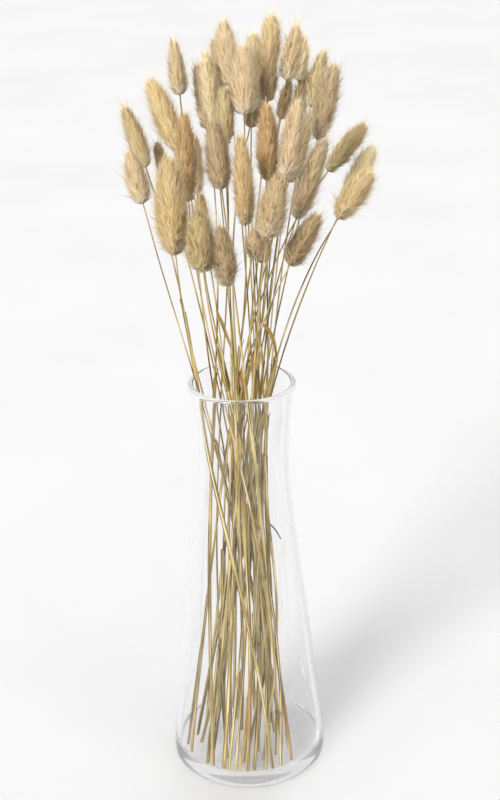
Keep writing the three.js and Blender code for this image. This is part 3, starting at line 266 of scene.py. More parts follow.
def at(s, arc, *tracks):
    """Each track, which goes with arc, read at the lengths s."""
    out = [np.stack([np.interp(s, arc, q[:, j]) for j in range(3)], -1) for q in tracks]
    return out if len(out) > 1 else out[0]


def soft_noise(x, rng, cell):
    """A smooth random line through x, about -1 to 1, with this cell."""
    lo, hi = float(np.min(x)), float(np.max(x))
    n = max(4, int((hi - lo) / cell) + 3)
    y = rng.uniform(-1, 1, n)
    g = (np.asarray(x) - lo) / max(hi - lo, 1e-9) * (n - 2)
    k = np.clip(g.astype(int), 0, n - 2)
    f = g - k
    f = f * f * (3 - 2 * f)
    return y[k] * (1 - f) + y[k + 1] * f


# ---------------------------------------------------------------- mesh building
class Body:
    """Gathers the parts of one piece: vertices in mm, polygons, and what the materials read."""

    def __init__(self):
        self.co, self.normal, self.grain, self.paint = [], [], [], []
        self.loops, self.totals, self.slots, self.uv = [], [], [], []
        self.count = 0

    def add(self, co, faces, slot, uv, normal=None, grain=None, paint=None):
        """faces is a list of (n, 3) or (n, 4) index arrays, and uv a list of matching (n, 3 or 4, 2) arrays. paint is
        (along, vary, brown, dark) for each vertex."""
        n = len(co)
        self.co.append(co)
        self.normal.append(np.zeros((n, 3)) if normal is None else normal)
        self.grain.append(np.zeros((n, 3)) if grain is None else grain)
        self.paint.append(np.zeros((n, 4)) if paint is None else paint)
        for f, t in zip(faces, uv):
            f = np.asarray(f)
            self.loops.append((f + self.count).ravel())
            self.totals.append(np.full(len(f), f.shape[1]))
            self.slots.append(np.full(len(f), slot))
            self.uv.append(np.asarray(t, float).reshape(-1, 2))
        self.count += n

    def mesh(self, name):
        co = np.concatenate(self.co) * MM
        loops, totals = np.concatenate(self.loops), np.concatenate(self.totals)
        me = bpy.data.meshes.new(name)
        me.vertices.add(len(co))
        me.vertices.foreach_set("co", co.astype(np.float32).ravel())
        me.loops.add(len(loops))
        me.loops.foreach_set("vertex_index", loops.astype(np.int32))
        me.polygons.add(len(totals))
        me.polygons.foreach_set("loop_start", (np.cumsum(totals) - totals).astype(np.int32))
        me.polygons.foreach_set("material_index", np.concatenate(self.slots).astype(np.int32))
        me.update(calc_edges=True)
        me.polygons.foreach_set("use_smooth", np.ones(len(totals), bool))
        layer = me.uv_layers.new(name="OFBake")
        layer.uv.foreach_set("vector", np.concatenate(self.uv).astype(np.float32).ravel())
        g = me.attributes.new("grain", "FLOAT_VECTOR", "POINT")
        g.data.foreach_set("vector", np.concatenate(self.grain).astype(np.float32).ravel())
        paint = np.concatenate(self.paint).astype(np.float32)
        for k, word in enumerate(("along", "vary", "brown", "dark")):
            a = me.attributes.new(word, "FLOAT", "POINT")
            a.data.foreach_set("value", paint[:, k].copy())
        normal = np.concatenate(self.normal).astype(np.float32)
        if np.abs(normal).sum() > 0:
            me.normals_split_custom_set_from_vertices(normal)
        me.update()
        return me


def grid_faces(rows, around, closed=True):
    """Quads between rows of points, each row the same length, and whether the rows are closed rings."""
    k = around if closed else around - 1
    i, j = np.meshgrid(np.arange(rows - 1), np.arange(k), indexing="ij")
    a = i * around + j
    b = i * around + (j + 1) % around
    return np.stack([a, b, b + around, a + around], -1).reshape(-1, 4), i.ravel(), j.ravel()


class Sheet:
    """Hands out columns of the right part of the piece's own map, each as wide as the others."""

    def __init__(self, columns):
        self.width, self.next = 0.72 / columns, 0

    def take(self):
        x = 0.265 + self.next * self.width
        self.next += 1
        return x


def tube(body, sheet, slot, c, arc, radius, sides, seed, ridges=0.0, seam=0.0, flat=0.0, brown=None, dark=None, per_column=60.0, turn=0.0, hollow=0.0, closed_end=True, vary=0.5):
    """A stem or sheath along c: radius at each sample, fine ridges along it, the step of a sheath's edge, and how flat
    its section is."""
    tan, u, v = frames(c)
    n = len(c)
    a = np.arange(sides) / sides * 2 * math.pi + turn
    ca, sa = np.cos(a), np.sin(a)
    shape = 1 + ridges * np.cos(a * (sides // 2)) + seam * ((np.arange(sides) / sides) - 0.5)
    ring = radius[:, None] * shape[None]
    squash = np.stack([ca * (1 + flat), sa * (1 - flat)], -1)
    pos = c[:, None] + ring[..., None] * (squash[None, :, :1] * u[:, None] + squash[None, :, 1:] * v[:, None])
    nor = unit(ca[None, :, None] * u[:, None] + sa[None, :, None] * v[:, None] + 0 * pos)
    mean = float(np.mean(radius))
    grain = np.stack(
        [
            np.broadcast_to(ca * mean, (n, sides)) + seed * 7.3,
            np.broadcast_to(sa * mean, (n, sides)) + seed * 3.1,
            np.broadcast_to(arc[:, None], (n, sides)) + seed * 131.0,
        ],
        -1,
    )
    b = np.zeros(n) if brown is None else brown
    d = np.zeros(n) if dark is None else dark
    # painted shadow: a dark line along the sheath's edge, where the edge would cast it, and painted shade a little
    # darker in the furrows opposite
    line = np.zeros((1, sides))
    if seam:
        line[0, 0], line[0, sides // 3], line[0, (2 * sides) // 3] = 0.62, 0.3, 0.22
    paint = np.stack(
        [
            np.broadcast_to((arc / max(arc[-1], 1e-6))[:, None], (n, sides)),
            np.full((n, sides), vary),
            np.broadcast_to(b[:, None], (n, sides)),
            np.clip(d[:, None] + line, 0, 1),
        ],
        -1,
    )
    faces, row, col = grid_faces(n, sides)
    rows_each = max(1, int(math.ceil((n - 1) / max(1, round(arc[-1] / per_column)))))
    cols = [sheet.take() for _ in range(int(math.ceil((n - 1) / rows_each)))]
    x0 = np.array(cols)[row // rows_each]
    y0 = (row % rows_each) / rows_each
    w = sheet.width * 0.92
    ua, ub = x0 + w * col / sides, x0 + w * (col + 1) / sides
    va, vb = 0.01 + 0.98 * y0, 0.01 + 0.98 * (y0 + 1 / rows_each)
    uv = np.stack([np.stack([ua, va], -1), np.stack([ub, va], -1), np.stack([ub, vb], -1), np.stack([ua, vb], -1)], 1)
    co, fs, us = [pos.reshape(-1, 3)], [faces], [uv]
    no, gr, pa = [nor.reshape(-1, 3)], [grain.reshape(-1, 3)], [paint.reshape(-1, 4)]
    base = n * sides
    for end, k in ((0, 0), (1, n - 1)):
        if end and not closed_end:
            continue
        rim = np.arange(sides) + k * sides
        out = tan[k] * (1 if end else -1)
        if hollow > 0:
            inner = c[k] + (pos[k] - c[k]) * hollow
            deep = inner - out * radius[k] * 1.2
            co += [inner, deep, (c[k] - out * radius[k] * 1.2)[None]]
            size = 2 * sides + 1
            i, j = np.arange(sides), (np.arange(sides) + 1) % sides
            q1 = np.stack([rim, rim[j], base + j, base + i], -1)
            q2 = np.stack([base + i, base + j, base + sides + j, base + sides + i], -1)
            tri = np.stack([base + sides + i, base + sides + j, np.full(sides, base + 2 * sides)], -1)
            if not end:
                q1, q2, tri = q1[:, ::-1], q2[:, ::-1], tri[:, ::-1]
            fs += [q1, q2, tri]
            no += [np.zeros((size, 3))]
            g = np.concatenate([grain[k], grain[k], grain[k][:1]])
            gr += [g + [0, 0, 3.0]]
            p = np.concatenate([paint[k], paint[k], paint[k][:1]])
            p = p.copy()
            p[:sides, 2] = np.minimum(p[:sides, 2] + 0.1, 1)
            # the inner faces of the hollow end are painted fully dark: painted shade in the hole
            p[sides:, 3] = 1.0
            pa += [p]
            mid = np.array([cols[0] + w / 2, 0.5])
            us += [np.broadcast_to(mid, (sides, 4, 2)), np.broadcast_to(mid, (sides, 4, 2)), np.broadcast_to(mid, (sides, 3, 2))]
        else:
            co += [(c[k] + out * radius[k] * 0.35)[None]]
            size = 1
            i, j = np.arange(sides), (np.arange(sides) + 1) % sides
            tri = np.stack([rim[i], rim[j], np.full(sides, base)], -1)
            if not end:
                tri = tri[:, ::-1]
            fs += [tri]
            no += [np.zeros((1, 3))]
            gr += [grain[k][:1]]
            pa += [paint[k][:1]]
            ends = np.array([[x0[0], 0.01], [x0[0] + w / sides, 0.01], [x0[0] + w / sides / 2, 0.02]])
            us += [np.broadcast_to(ends, (sides, 3, 2))]
        base += size
    body.add(np.concatenate(co), fs, slot, us, np.concatenate(no), np.concatenate(gr), np.concatenate(pa))


def blade(body, sheet, slot, points, half, thick, facing, seed, fold=0.35, curl=0.0, brown=0.5, dark=0.0, step=1.5, arc_share=None, tip_brown=0.0, x0=None):
    """A dry leaf or a scrap of one: a thin closed strip along the points, with a fold down its middle. With arc_share,
    half is the radius of a rolled sheath that covers that share of a turn."""
    c, arc = spline(points, step)
    n = len(c)
    t = np.linspace(0, 1, len(points))
    pt = np.asarray(points, float)
    tp = np.concatenate([[0.0], np.cumsum(np.linalg.norm(np.diff(pt, axis=0), axis=1))])
    h = np.interp(arc / arc[-1], tp / tp[-1], half)
    tan, u, v = frames(c, facing)
    k = 9 if arc_share else 7
    q = np.linspace(-1, 1, k)
    if arc_share:
        share = np.interp(np.linspace(0, 1, n), np.linspace(0, 1, len(arc_share)), arc_share)
        ang = q[None] * (share[:, None] * math.pi)
        x = np.sin(ang) * h[:, None]
        y = (1 - np.cos(ang)) * h[:, None] - h[:, None]
        nx, ny = np.sin(ang), -np.cos(ang)
    else:
        twist = curl * (arc / arc[-1])[:, None]
        x0_, y0_ = q[None] * h[:, None], fold * (np.abs(q[None]) ** 1.4) * h[:, None]
        x, y = x0_ * np.cos(twist) - y0_ * np.sin(twist), x0_ * np.sin(twist) + y0_ * np.cos(twist)
        nx, ny = -0.35 * np.sign(q)[None] * np.ones((n, 1)), -np.ones((n, k))
        nx, ny = nx * np.cos(twist) - ny * np.sin(twist), nx * np.sin(twist) + ny * np.cos(twist)
    nor = unit(nx[..., None] * u[:, None] + ny[..., None] * v[:, None])
    mid = c[:, None] + x[..., None] * u[:, None] + y[..., None] * v[:, None]
    edge = (1 - np.abs(q) ** 6)[None, :, None] * thick
    top, bottom = mid + nor * (edge * 0.5 + 0.01), mid - nor * (edge * 0.5 + 0.01)
    grain = np.stack([x + seed * 5.7, y * 1.0 + seed * 2.9, np.broadcast_to(arc[:, None], x.shape) + seed * 97.0], -1)
    al = np.broadcast_to((arc / arc[-1])[:, None], x.shape)
    br = np.clip(brown + tip_brown * al**2, 0, 1) + 0 * x
    paint_top = np.stack([al, np.full(x.shape, 0.5), br, np.full(x.shape, dark)], -1)
    # the lower face is darker: on a rolled sheath it is the inner face round the stem, painted shade inside the roll;
    # on a flat blade it is only a little darker
    paint_low = np.stack([al, np.full(x.shape, 0.5), br, np.full(x.shape, min(1.0, dark + (0.55 if arc_share else 0.1)))], -1)
    f, row, col = grid_faces(n, k, closed=False)
    f2 = f[:, ::-1] + n * k
    left = np.arange(n - 1) * k
    side_l = np.stack([left, left + k, left + k + n * k, left + n * k], -1)
    rgt = left + k - 1
    side_r = np.stack([rgt, rgt + n * k, rgt + k + n * k, rgt + k], -1)
    a, b = np.arange(k - 1), np.arange(k - 1) + 1
    cap0 = np.stack([a, a + n * k, b + n * k, b], -1)
    m = (n - 1) * k
    cap1 = np.stack([m + a, m + b, m + b + n * k, m + a + n * k], -1)
    if x0 is None:
        x0 = sheet.take()
    w = sheet.width * 0.92

    def uvs(fa):
        r, cc = (fa % (n * k)) // k, (fa % (n * k)) % k
        low = (fa >= n * k).astype(float)
        return np.stack([x0 + w * (0.02 + 0.46 * cc / (k - 1) + 0.5 * low), 0.01 + 0.98 * r / (n - 1)], -1)

    allf = [f, f2, side_l, side_r, cap0, cap1]
    body.add(
        np.concatenate([top.reshape(-1, 3), bottom.reshape(-1, 3)]),
        allf,
        slot,
        [uvs(g) for g in allf],
        np.concatenate([nor.reshape(-1, 3), -nor.reshape(-1, 3)]),
        np.concatenate([grain.reshape(-1, 3), grain.reshape(-1, 3) + [11.0, 0, 0]]),
        np.concatenate([paint_top.reshape(-1, 4), paint_low.reshape(-1, 4)]),
    )


def hairs(body, slot, rows, normal_rows, width, along, vary, side):
    """Fine tapering hairs. rows is (count, points, 3) with the root first; the last point is the hair's end."""
    m, k, _ = rows.shape
    co = np.empty((m, 2 * k - 1, 3))
    no = np.empty((m, 2 * k - 1, 3))
    pa = np.zeros((m, 2 * k - 1, 4))
    half = width / 2
    for j in range(k - 1):
        co[:, 2 * j] = rows[:, j] - side[:, j] * half[:, j, None]
        co[:, 2 * j + 1] = rows[:, j] + side[:, j] * half[:, j, None]
        no[:, 2 * j] = no[:, 2 * j + 1] = normal_rows[:, j]
        pa[:, 2 * j, 0] = pa[:, 2 * j + 1, 0] = along[:, j]
        pa[:, 2 * j, 1], pa[:, 2 * j + 1, 1] = vary - 0.004, vary + 0.004
    co[:, -1], no[:, -1] = rows[:, -1], normal_rows[:, -1]
    pa[:, -1, 0], pa[:, -1, 1] = along[:, -1], vary
    first = np.arange(m)[:, None] * (2 * k - 1)
    fs, us = [], []
    uv = np.stack([0.01 + 0.235 * np.clip(pa[..., 0], 0, 1), 0.01 + 0.98 * np.clip(pa[..., 1], 0, 1)], -1)
    # each hair is turned so that its face looks the way its normal does
    face = np.cross(co[:, 1] - co[:, 0], co[:, 2] - co[:, 0])
    back = (face * no[:, 0]).sum(1) < 0
    order = [np.array([2 * j, 2 * j + 1, 2 * j + 3, 2 * j + 2]) for j in range(k - 2)] + [
        np.array([2 * k - 4, 2 * k - 3, 2 * k - 2])
    ]
    for o in order:
        idx = np.where(back[:, None], o[::-1][None], o[None])
        fs.append(first + idx)
        us.append(np.take_along_axis(uv, idx[..., None], 1))
    body.add(co.reshape(-1, 3), fs, slot, us, unit(no.reshape(-1, 3)), None, pa.reshape(-1, 4))


# ---------------------------------------------------------------- a seed head
PROFILE_S = np.array([-0.05, 0.0, 0.05, 0.12, 0.22, 0.36, 0.5, 0.64, 0.78, 0.9, 1.0, 1.1, 1.2, 1.35])
PROFILE_R = np.array([0.08, 0.20, 0.50, 0.77, 0.95, 1.03, 1.02, 0.95, 0.80, 0.60, 0.38, 0.22, 0.12, 0.05])


def outline(s, widest, full, blunt):
    """Radius of the fluff along a head, as a share of its widest: widest moves the belly, full rounds the base and
    blunt keeps the tip broad."""
    x = np.asarray(s, float)
    g = np.log(0.42) / np.log(widest)
    w = np.where((x > 0) & (x < 1), np.clip(x, 1e-6, 1) ** g, x)
    r = np.interp(w, PROFILE_S, PROFILE_R)
    r = r * (1 + (full - 0.5) * 0.35 * np.exp(-((x - 0.08) / 0.12) ** 2))
    return r * (1 + (blunt - 0.5) * 0.9 * np.clip(x - 0.45, 0, 0.8))


SLANT_S = np.array([-0.02, 0.04, 0.10, 0.20, 0.38, 0.60, 0.78, 0.90])
SLANT_A = np.array([56.0, 47.0, 39.0, 32.0, 26.0, 22.0, 17.0, 10.0])


def seed_head(body, sheet, k, base, tip, stem_dir, width, rng, straw, fluff, budget, shape, pink):
    widest, full, blunt, awny = shape
    base, tip = np.asarray(base, float), np.asarray(tip, float)
    L = float(np.linalg.norm(tip - base))
    R = width / 2
    mid = base + stem_dir * L * 0.42
    t = np.linspace(-0.12, 1.45, 64)[:, None]
    q = np.clip(t, 0, 1)
    c = (1 - q) ** 2 * base + 2 * q * (1 - q) * mid + q**2 * tip
    c = c + np.minimum(t, 0) * L * unit(mid - base) + np.maximum(t - 1, 0) * L * unit(tip - mid)
    s_of = t[:, 0]
    tan, u, v = frames(c)

    def place(s, a, r):
        """The point at share s of the length, angle a and radius r, with the outward and the lengthwise direction."""
        p, tt, uu, vv = at(s, s_of, c, tan, u, v)
        e = uu * np.cos(a)[..., None] + vv * np.sin(a)[..., None]
        return p + e * r[..., None], unit(e), unit(tt)

    # the spike inside: overlapping husks on a thin axis
    n_rows, sides = 15, 12
    ss = np.linspace(-0.02, 0.88, n_rows)
    core = 0.36 * R * outline(ss, widest, full, blunt) * np.clip((ss + 0.05) / 0.1, 0.15, 1) ** 0.6
    core[0], core[-1] = 0.45, 0.12 * R
    a = np.arange(sides) / sides * 2 * math.pi
    S, A = np.meshgrid(ss, a, indexing="ij")
    bump = 1 + 0.14 * np.cos(A * 6 + np.arange(n_rows)[:, None] * math.pi) + rng.uniform(-0.06, 0.06, S.shape)
    pos, e, tt = place(S.ravel(), A.ravel(), (core[:, None] * bump).ravel())
    f, row, col = grid_faces(n_rows, sides)
    x0 = sheet.take()
    w = sheet.width * 0.92
    uv = np.stack(
        [
            np.stack([x0 + w * (col + i) / sides, 0.01 + 0.98 * (row + j) / (n_rows - 1)], -1)
            for i, j in ((0, 0), (1, 0), (1, 1), (0, 1))
        ],
        1,
    )
    paint = np.stack([S.ravel(), np.full(S.size, 0.5), np.full(S.size, 0.22), np.full(S.size, 0.12)], -1)
    grain = np.stack([np.cos(A) * R, np.sin(A) * R, S * L], -1).reshape(-1, 3) + k * 17.0
    body.add(pos, [f], straw, [uv], e, grain, paint)

    # plumes: every husk carries one, a curved shaft with fine hairs that spread from it. They are set in a spiral over
    # the spike, nearly square to it at the foot and closing up towards the tip
    per = 14
    plumes = max(120, int(budget / (per + 6)))
    i = np.arange(plumes)
    s0 = -0.012 + 0.90 * ((i + 0.5) / plumes) ** 1.22
    s0 = s0 + rng.normal(0, 0.008, plumes)
    a0 = i * 2.39996323 + rng.normal(0, 0.15, plumes)
    slant = np.interp(s0, SLANT_S, SLANT_A) + rng.normal(0, 6.0, plumes)
    slant = np.radians(np.clip(slant, 5, 84))
    rc = np.interp(s0, ss, core) * 0.9
    reach = rng.normal(0.95, 0.13, plumes)
    # some plumes stand a little proud of the rest, in loose patches
    cells = rng.uniform(-1, 1, (8, 7, 2))
    gs, ga = np.clip(s0, 0, 0.999) * 6, (a0 / (2 * math.pi) % 1) * 7
    patch = [
        cells[gs.astype(int) % 8, ga.astype(int) % 7, q] * (1 - gs % 1)
        + cells[(gs.astype(int) + 1) % 8, ga.astype(int) % 7, q] * (gs % 1)
        for q in (0, 1)
    ]
    reach = reach + 0.05 * patch[1]
    end_s = 0.935 + 0.06 * rng.normal(0, 1, plumes)
    reach_len = np.full(plumes, 0.5 * width + 2.0)
    for _ in range(5):
        s_end = s0 + reach_len * np.cos(slant) / L
        want = (R * outline(s_end, widest, full, blunt) * reach - rc) / np.sin(slant)
        reach_len = 0.5 * reach_len + 0.5 * np.clip(want, 2.5, 0.72 * width + 5.0)
    reach_len = np.minimum(reach_len, np.maximum((end_s - s0) * L / np.cos(slant), 2.2))
    d_r, d_s = reach_len * np.sin(slant), reach_len * np.cos(slant) / L
    swirl = rng.normal(0, 0.13, plumes)
    tone = rng.normal(0, 1, plumes)

    def shaft(who, q):
        """The point at share q of each named plume."""
        r = rc[who] + d_r[who] * (1.32 * q - 0.32 * q * q)
        s = s0[who] + d_s[who] * (0.8 * q + 0.2 * q * q)
        return place(s, a0[who] + swirl[who] * q, np.maximum(r, 0.05))

    pale = np.exp(-((np.clip(s0, 0, 1)) / 0.12) ** 2) * (0.26 + 0.26 * pink)
    tint = 0.5 + 0.15 * tone + 0.10 * patch[0] - pale

    # the hairs: each starts somewhere on its shaft
    who = np.repeat(i, per)
    m = len(who)
    q = rng.uniform(0.03, 0.80, m) ** 0.85
    p0, e0, t0 = shaft(who, q)
    p1, _, _ = shaft(who, q + 0.12)
    way = unit(p1 - p0)
    g = rng.normal(0, 1, (m, 3))
    g = g - way * (g * way).sum(1)[:, None]
    way = unit(way + g * 0.15 + e0 * 0.03)
    length = (3.6 + 0.24 * width) * rng.uniform(0.6, 1.15, m)
    length = np.minimum(length, np.maximum((1.10 - q) * reach_len[who] * rng.uniform(0.75, 1.15, m), 1.2))
    wild = rng.uniform(0, 1, m) < 0.15 + 0.08 * awny
    length = np.where(wild, length * rng.uniform(1.3, 2.3, m), length)
    rows = np.stack([p0, p0 + way * length[:, None]], 1)
    roll = rng.normal(0, 0.6, m)
    side = unit(np.cross(way, e0))
    face = unit(np.cross(side, way))
    side = side * np.cos(roll)[:, None] + face * np.sin(roll)[:, None]
    lean = unit(e0 + t0 * 0.25 + rng.normal(0, 0.22, (m, 3)))
    nr = np.repeat(lean[:, None], 2, 1)
    wd = HAIR_WIDTH * rng.uniform(0.7, 1.25, m) * np.where(wild, 1.55, 1.0)
    out = np.clip(q + length / reach_len[who], 0, 1.1) / 1.1
    # along runs from the root, painted darker as shade deep in the fluff, to the pale tip
    along = np.stack([np.clip(0.05 + 0.5 * q, 0, 1), np.clip(0.42 + 0.58 * out, 0, 1)], 1)
    vary = np.clip(tint[who] + rng.normal(0, 0.17, m), 0.02, 0.98)
    hairs(body, fluff, rows, nr, wd[:, None], along, vary, side[:, None])

    # the shafts themselves, two to a plume
    who = np.repeat(i, 2)
    m = len(who)
    q0, q1 = rng.uniform(0.0, 0.35, m), rng.uniform(0.90, 1.18, m)
    steps = [q0 + (q1 - q0) * x for x in (0, 0.5, 1)]
    pts = [shaft(who, x) for x in steps]
    rows = np.stack([x[0] for x in pts], 1) + rng.normal(0, 1, (m, 3, 3)) * np.array([0.12, 0.25, 0.45])[None, :, None]
    e = np.stack([x[1] for x in pts], 1)
    way = unit(np.diff(rows, axis=1))
    side = unit(np.cross(way, e[:, :2]))
    face = unit(np.cross(side, way))
    roll = rng.normal(0, 0.5, m)[:, None, None]
    side = side * np.cos(roll) + face * np.sin(roll)
    nr = unit(e + 0.25 * np.stack([x[2] for x in pts], 1) + rng.normal(0, 0.18, (m, 1, 3)))
    widths = np.tile([1.15, 0.9], (m, 1)) * HAIR_WIDTH * rng.uniform(0.8, 1.15, m)[:, None]
    along = np.stack([0.05 + 0.3 * q0, np.full(m, 0.5), np.full(m, 1.0)], 1)
    hairs(body, fluff, rows, nr, widths, along, np.clip(tint[who] + 0.08 + rng.normal(0, 0.2, m), 0.02, 0.98), side)

    # long straight awns that stand out of the fluff
    m = int(30 + 76 * awny * L / 30)
    hs = rng.uniform(0.05, 0.9, m)
    ha = rng.uniform(0, 2 * math.pi, m)
    length = rng.uniform(8, 14, m) * (0.6 + 0.4 * min(1.3, width / 11))
    lift = np.radians(rng.uniform(18, 46, m)) * np.where(hs > 0.7, 0.6, 1)
    r0 = np.interp(hs, ss, core)
    p0, e0, t0 = place(hs, ha, r0)
    d0 = t0 * np.cos(lift)[:, None] + e0 * np.sin(lift)[:, None]
    bend = rng.normal(0, 0.10, (m, 3)) + t0 * 0.16
    rows = np.stack([p0 + d0 * (length * q)[:, None] + bend * (length * q * q)[:, None] for q in (0, 0.4, 0.72, 1)], 1)
    way = unit(np.diff(rows, axis=1))
    side = unit(np.cross(way, unit(e0[:, None] + way * 0)))
    nr = unit(np.repeat((e0 + 0.2 * t0)[:, None], 4, 1))
    widths = np.tile([0.22, 0.20, 0.14], (m, 1)) * rng.uniform(0.8, 1.15, m)[:, None]
    along = np.tile([0.2, 0.55, 0.8, 1.0], (m, 1))
    hairs(body, fluff, rows, nr, widths, along, np.clip(rng.normal(0.5, 0.16, m), 0.02, 0.98), side)

    # bracts round the foot of the head
    count = 7
    aa = np.arange(count) / count * 2 * math.pi + rng.uniform(0, 0.5)
    x0 = sheet.take()
    for j in range(count):
        an = np.array([aa[j]])
        ps = []
        for sq, rq in ((-0.02, 0.5), (0.0, 0.12 * R + 0.4), (0.03, 0.30 * R), (0.07, 0.46 * R)):
            p, _, _ = place(np.array([sq]), an, np.array([rq]))
            ps.append(p[0])
        blade(body, sheet, straw, ps, [0.25, 0.42, 0.35, 0.08], 0.06, tuple(np.cross(tan[4], ps[1] - ps[0] + 1e-6)), k + 0.13 * 0, fold=0.2, brown=0.30, dark=0.0, step=1.2, tip_brown=0.2, x0=x0)


# ---------------------------------------------------------------- settings
HAIRS = 640000
HAIR_WIDTH = 0.165
WORLD = ((0.82, 0.82, 0.82), (0.90, 0.90, 0.905), (1.0, 1.0, 1.0))
SIDE = (0.42, 0.415, 0.42)
WORLD_STRENGTH = 1.2
EXPOSURE = 0.22
DENOISE = True


# ---------------------------------------------------------------- materials
def srgb(r, g, b):
    out = []
    for x in (r, g, b):
        x = x / 255.0
        out.append(x / 12.92 if x <= 0.04045 else ((x + 0.055) / 1.055) ** 2.4)
    return (*out, 1.0)


def new_material(name):
    m = bpy.data.materials.new(name)
    m.use_nodes = True
    nt = m.node_tree
    nt.nodes.clear()
    return m, nt, nt.nodes.new("ShaderNodeOutputMaterial")


def node(nt, kind, **inputs):
    n = nt.nodes.new(kind)
    for key, value in inputs.items():
        n.inputs[key.replace("_", " ")].default_value = value
    return n


def attribute(nt, name):
    n = nt.nodes.new("ShaderNodeAttribute")
    n.attribute_type = "GEOMETRY"
    n.attribute_name = name
    return n


def ramp(nt, fac, stops, mode="LINEAR"):
    n = nt.nodes.new("ShaderNodeValToRGB")
    n.color_ramp.interpolation = mode
    el = n.color_ramp.elements
    while len(el) > 1:
        el.remove(el[-1])
    el[0].position, el[0].color = stops[0][0], stops[0][1]
    for p, c in stops[1:]:
        e = el.new(p)
        e.color = c
    nt.links.new(fac, n.inputs["Fac"])
    return n.outputs["Color"]


def grey(x):
    return (x, x, x, 1.0)


def mix(nt, fac, a, b, blend="MIX"):
    n = nt.nodes.new("ShaderNodeMix")
    n.data_type = "RGBA"
    n.blend_type = blend
    n.clamp_factor = True
    for socket, value in ((n.inputs[0], fac), (n.inputs[6], a), (n.inputs[7], b)):
        if isinstance(value, (int, float, tuple)):
            socket.default_value = value
        else:
            nt.links.new(value, socket)
    return n.outputs[2]


def noise(nt, vector, scale, detail=3.0, rough=0.55, stretch=None):
    if stretch is not None:
        mp = nt.nodes.new("ShaderNodeMapping")
        mp.inputs["Scale"].default_value = stretch
        nt.links.new(vector, mp.inputs["Vector"])
        vector = mp.outputs["Vector"]
    n = nt.nodes.new("ShaderNodeTexNoise")
    n.inputs["Scale"].default_value = scale
    n.inputs["Detail"].default_value = detail
    n.inputs["Roughness"].default_value = rough
    nt.links.new(vector, n.inputs["Vector"])
    return n.outputs["Fac"]


def straw_material():
    m, nt, out = new_material("straw")
    grain, vary = attribute(nt, "grain").outputs["Vector"], attribute(nt, "vary").outputs["Fac"]
    brown, dark = attribute(nt, "brown").outputs["Fac"], attribute(nt, "dark").outputs["Fac"]
    broad = noise(nt, grain, 1.0, 2.0, 0.5, (0.25, 0.25, 0.028))
    patch = noise(nt, grain, 1.0, 3.0, 0.6, (0.6, 0.6, 0.07))
    rib = noise(nt, grain, 1.0, 2.0, 0.55, (1.55, 1.55, 0.022))
    streak = noise(nt, grain, 1.0, 4.0, 0.62, (3.4, 3.4, 0.05))
    fleck = noise(nt, grain, 1.0, 2.0, 0.5, (3.0, 3.0, 0.5))
    base = ramp(nt, broad, [(0.34, srgb(*STRAW["khaki"])), (0.5, srgb(*STRAW["straw"])), (0.66, srgb(*STRAW["pale"]))])
    base = mix(nt, ramp(nt, vary, [(0.0, grey(0.75)), (0.45, grey(0))]), base, srgb(*STRAW["green"]))
    base = mix(nt, ramp(nt, vary, [(0.6, grey(0)), (1.0, grey(0.7))]), base, srgb(*STRAW["pale"]))
    base = mix(nt, ramp(nt, patch, [(0.5, grey(0)), (0.7, grey(0.6))]), base, srgb(*STRAW["tan"]))
    # where the rib relief is low the colour goes dark, painted shade in the grooves, and where it is high it goes pale,
    # a painted highlight on the ridges
    base = mix(nt, ramp(nt, rib, [(0.38, grey(1.0)), (0.49, grey(0))]), base, srgb(*STRAW["dark_streak_and_groove_shade"]))
    base = mix(nt, ramp(nt, rib, [(0.54, grey(0)), (0.64, grey(0.75))]), base, srgb(*STRAW["pale_streak_and_ridge_highlight"]))
    # fine random streaks in the same dark and pale colours: the straw's own streaking
    base = mix(nt, ramp(nt, streak, [(0.34, grey(0.6)), (0.5, grey(0))]), base, srgb(*STRAW["dark_streak_and_groove_shade"]))
    base = mix(nt, ramp(nt, streak, [(0.6, grey(0)), (0.76, grey(0.55))]), base, srgb(*STRAW["pale_streak_and_ridge_highlight"]))
    base = mix(nt, ramp(nt, fleck, [(0.66, grey(0)), (0.76, grey(0.5))]), base, srgb(*STRAW["fleck"]))
    browned = mix(nt, ramp(nt, streak, [(0.35, grey(0)), (0.65, grey(1))]), srgb(*STRAW["brown_low"]), srgb(*STRAW["brown_high"]))
    base = mix(nt, brown, base, browned)
    base = mix(nt, dark, base, srgb(*STRAW["dark"]))
    p = node(nt, "ShaderNodeBsdfPrincipled", IOR=1.45)
    p.inputs["Specular IOR Level"].default_value = 0.35
    nt.links.new(base, p.inputs["Base Color"])
    nt.links.new(ramp(nt, streak, [(0.3, grey(0.62)), (0.75, grey(0.4))]), p.inputs["Roughness"])
    bump = node(nt, "ShaderNodeBump", Strength=0.5, Distance=0.00015)
    nt.links.new(rib, bump.inputs["Height"])
    nt.links.new(bump.outputs["Normal"], p.inputs["Normal"])
    nt.links.new(p.outputs["BSDF"], out.inputs["Surface"])
    return m


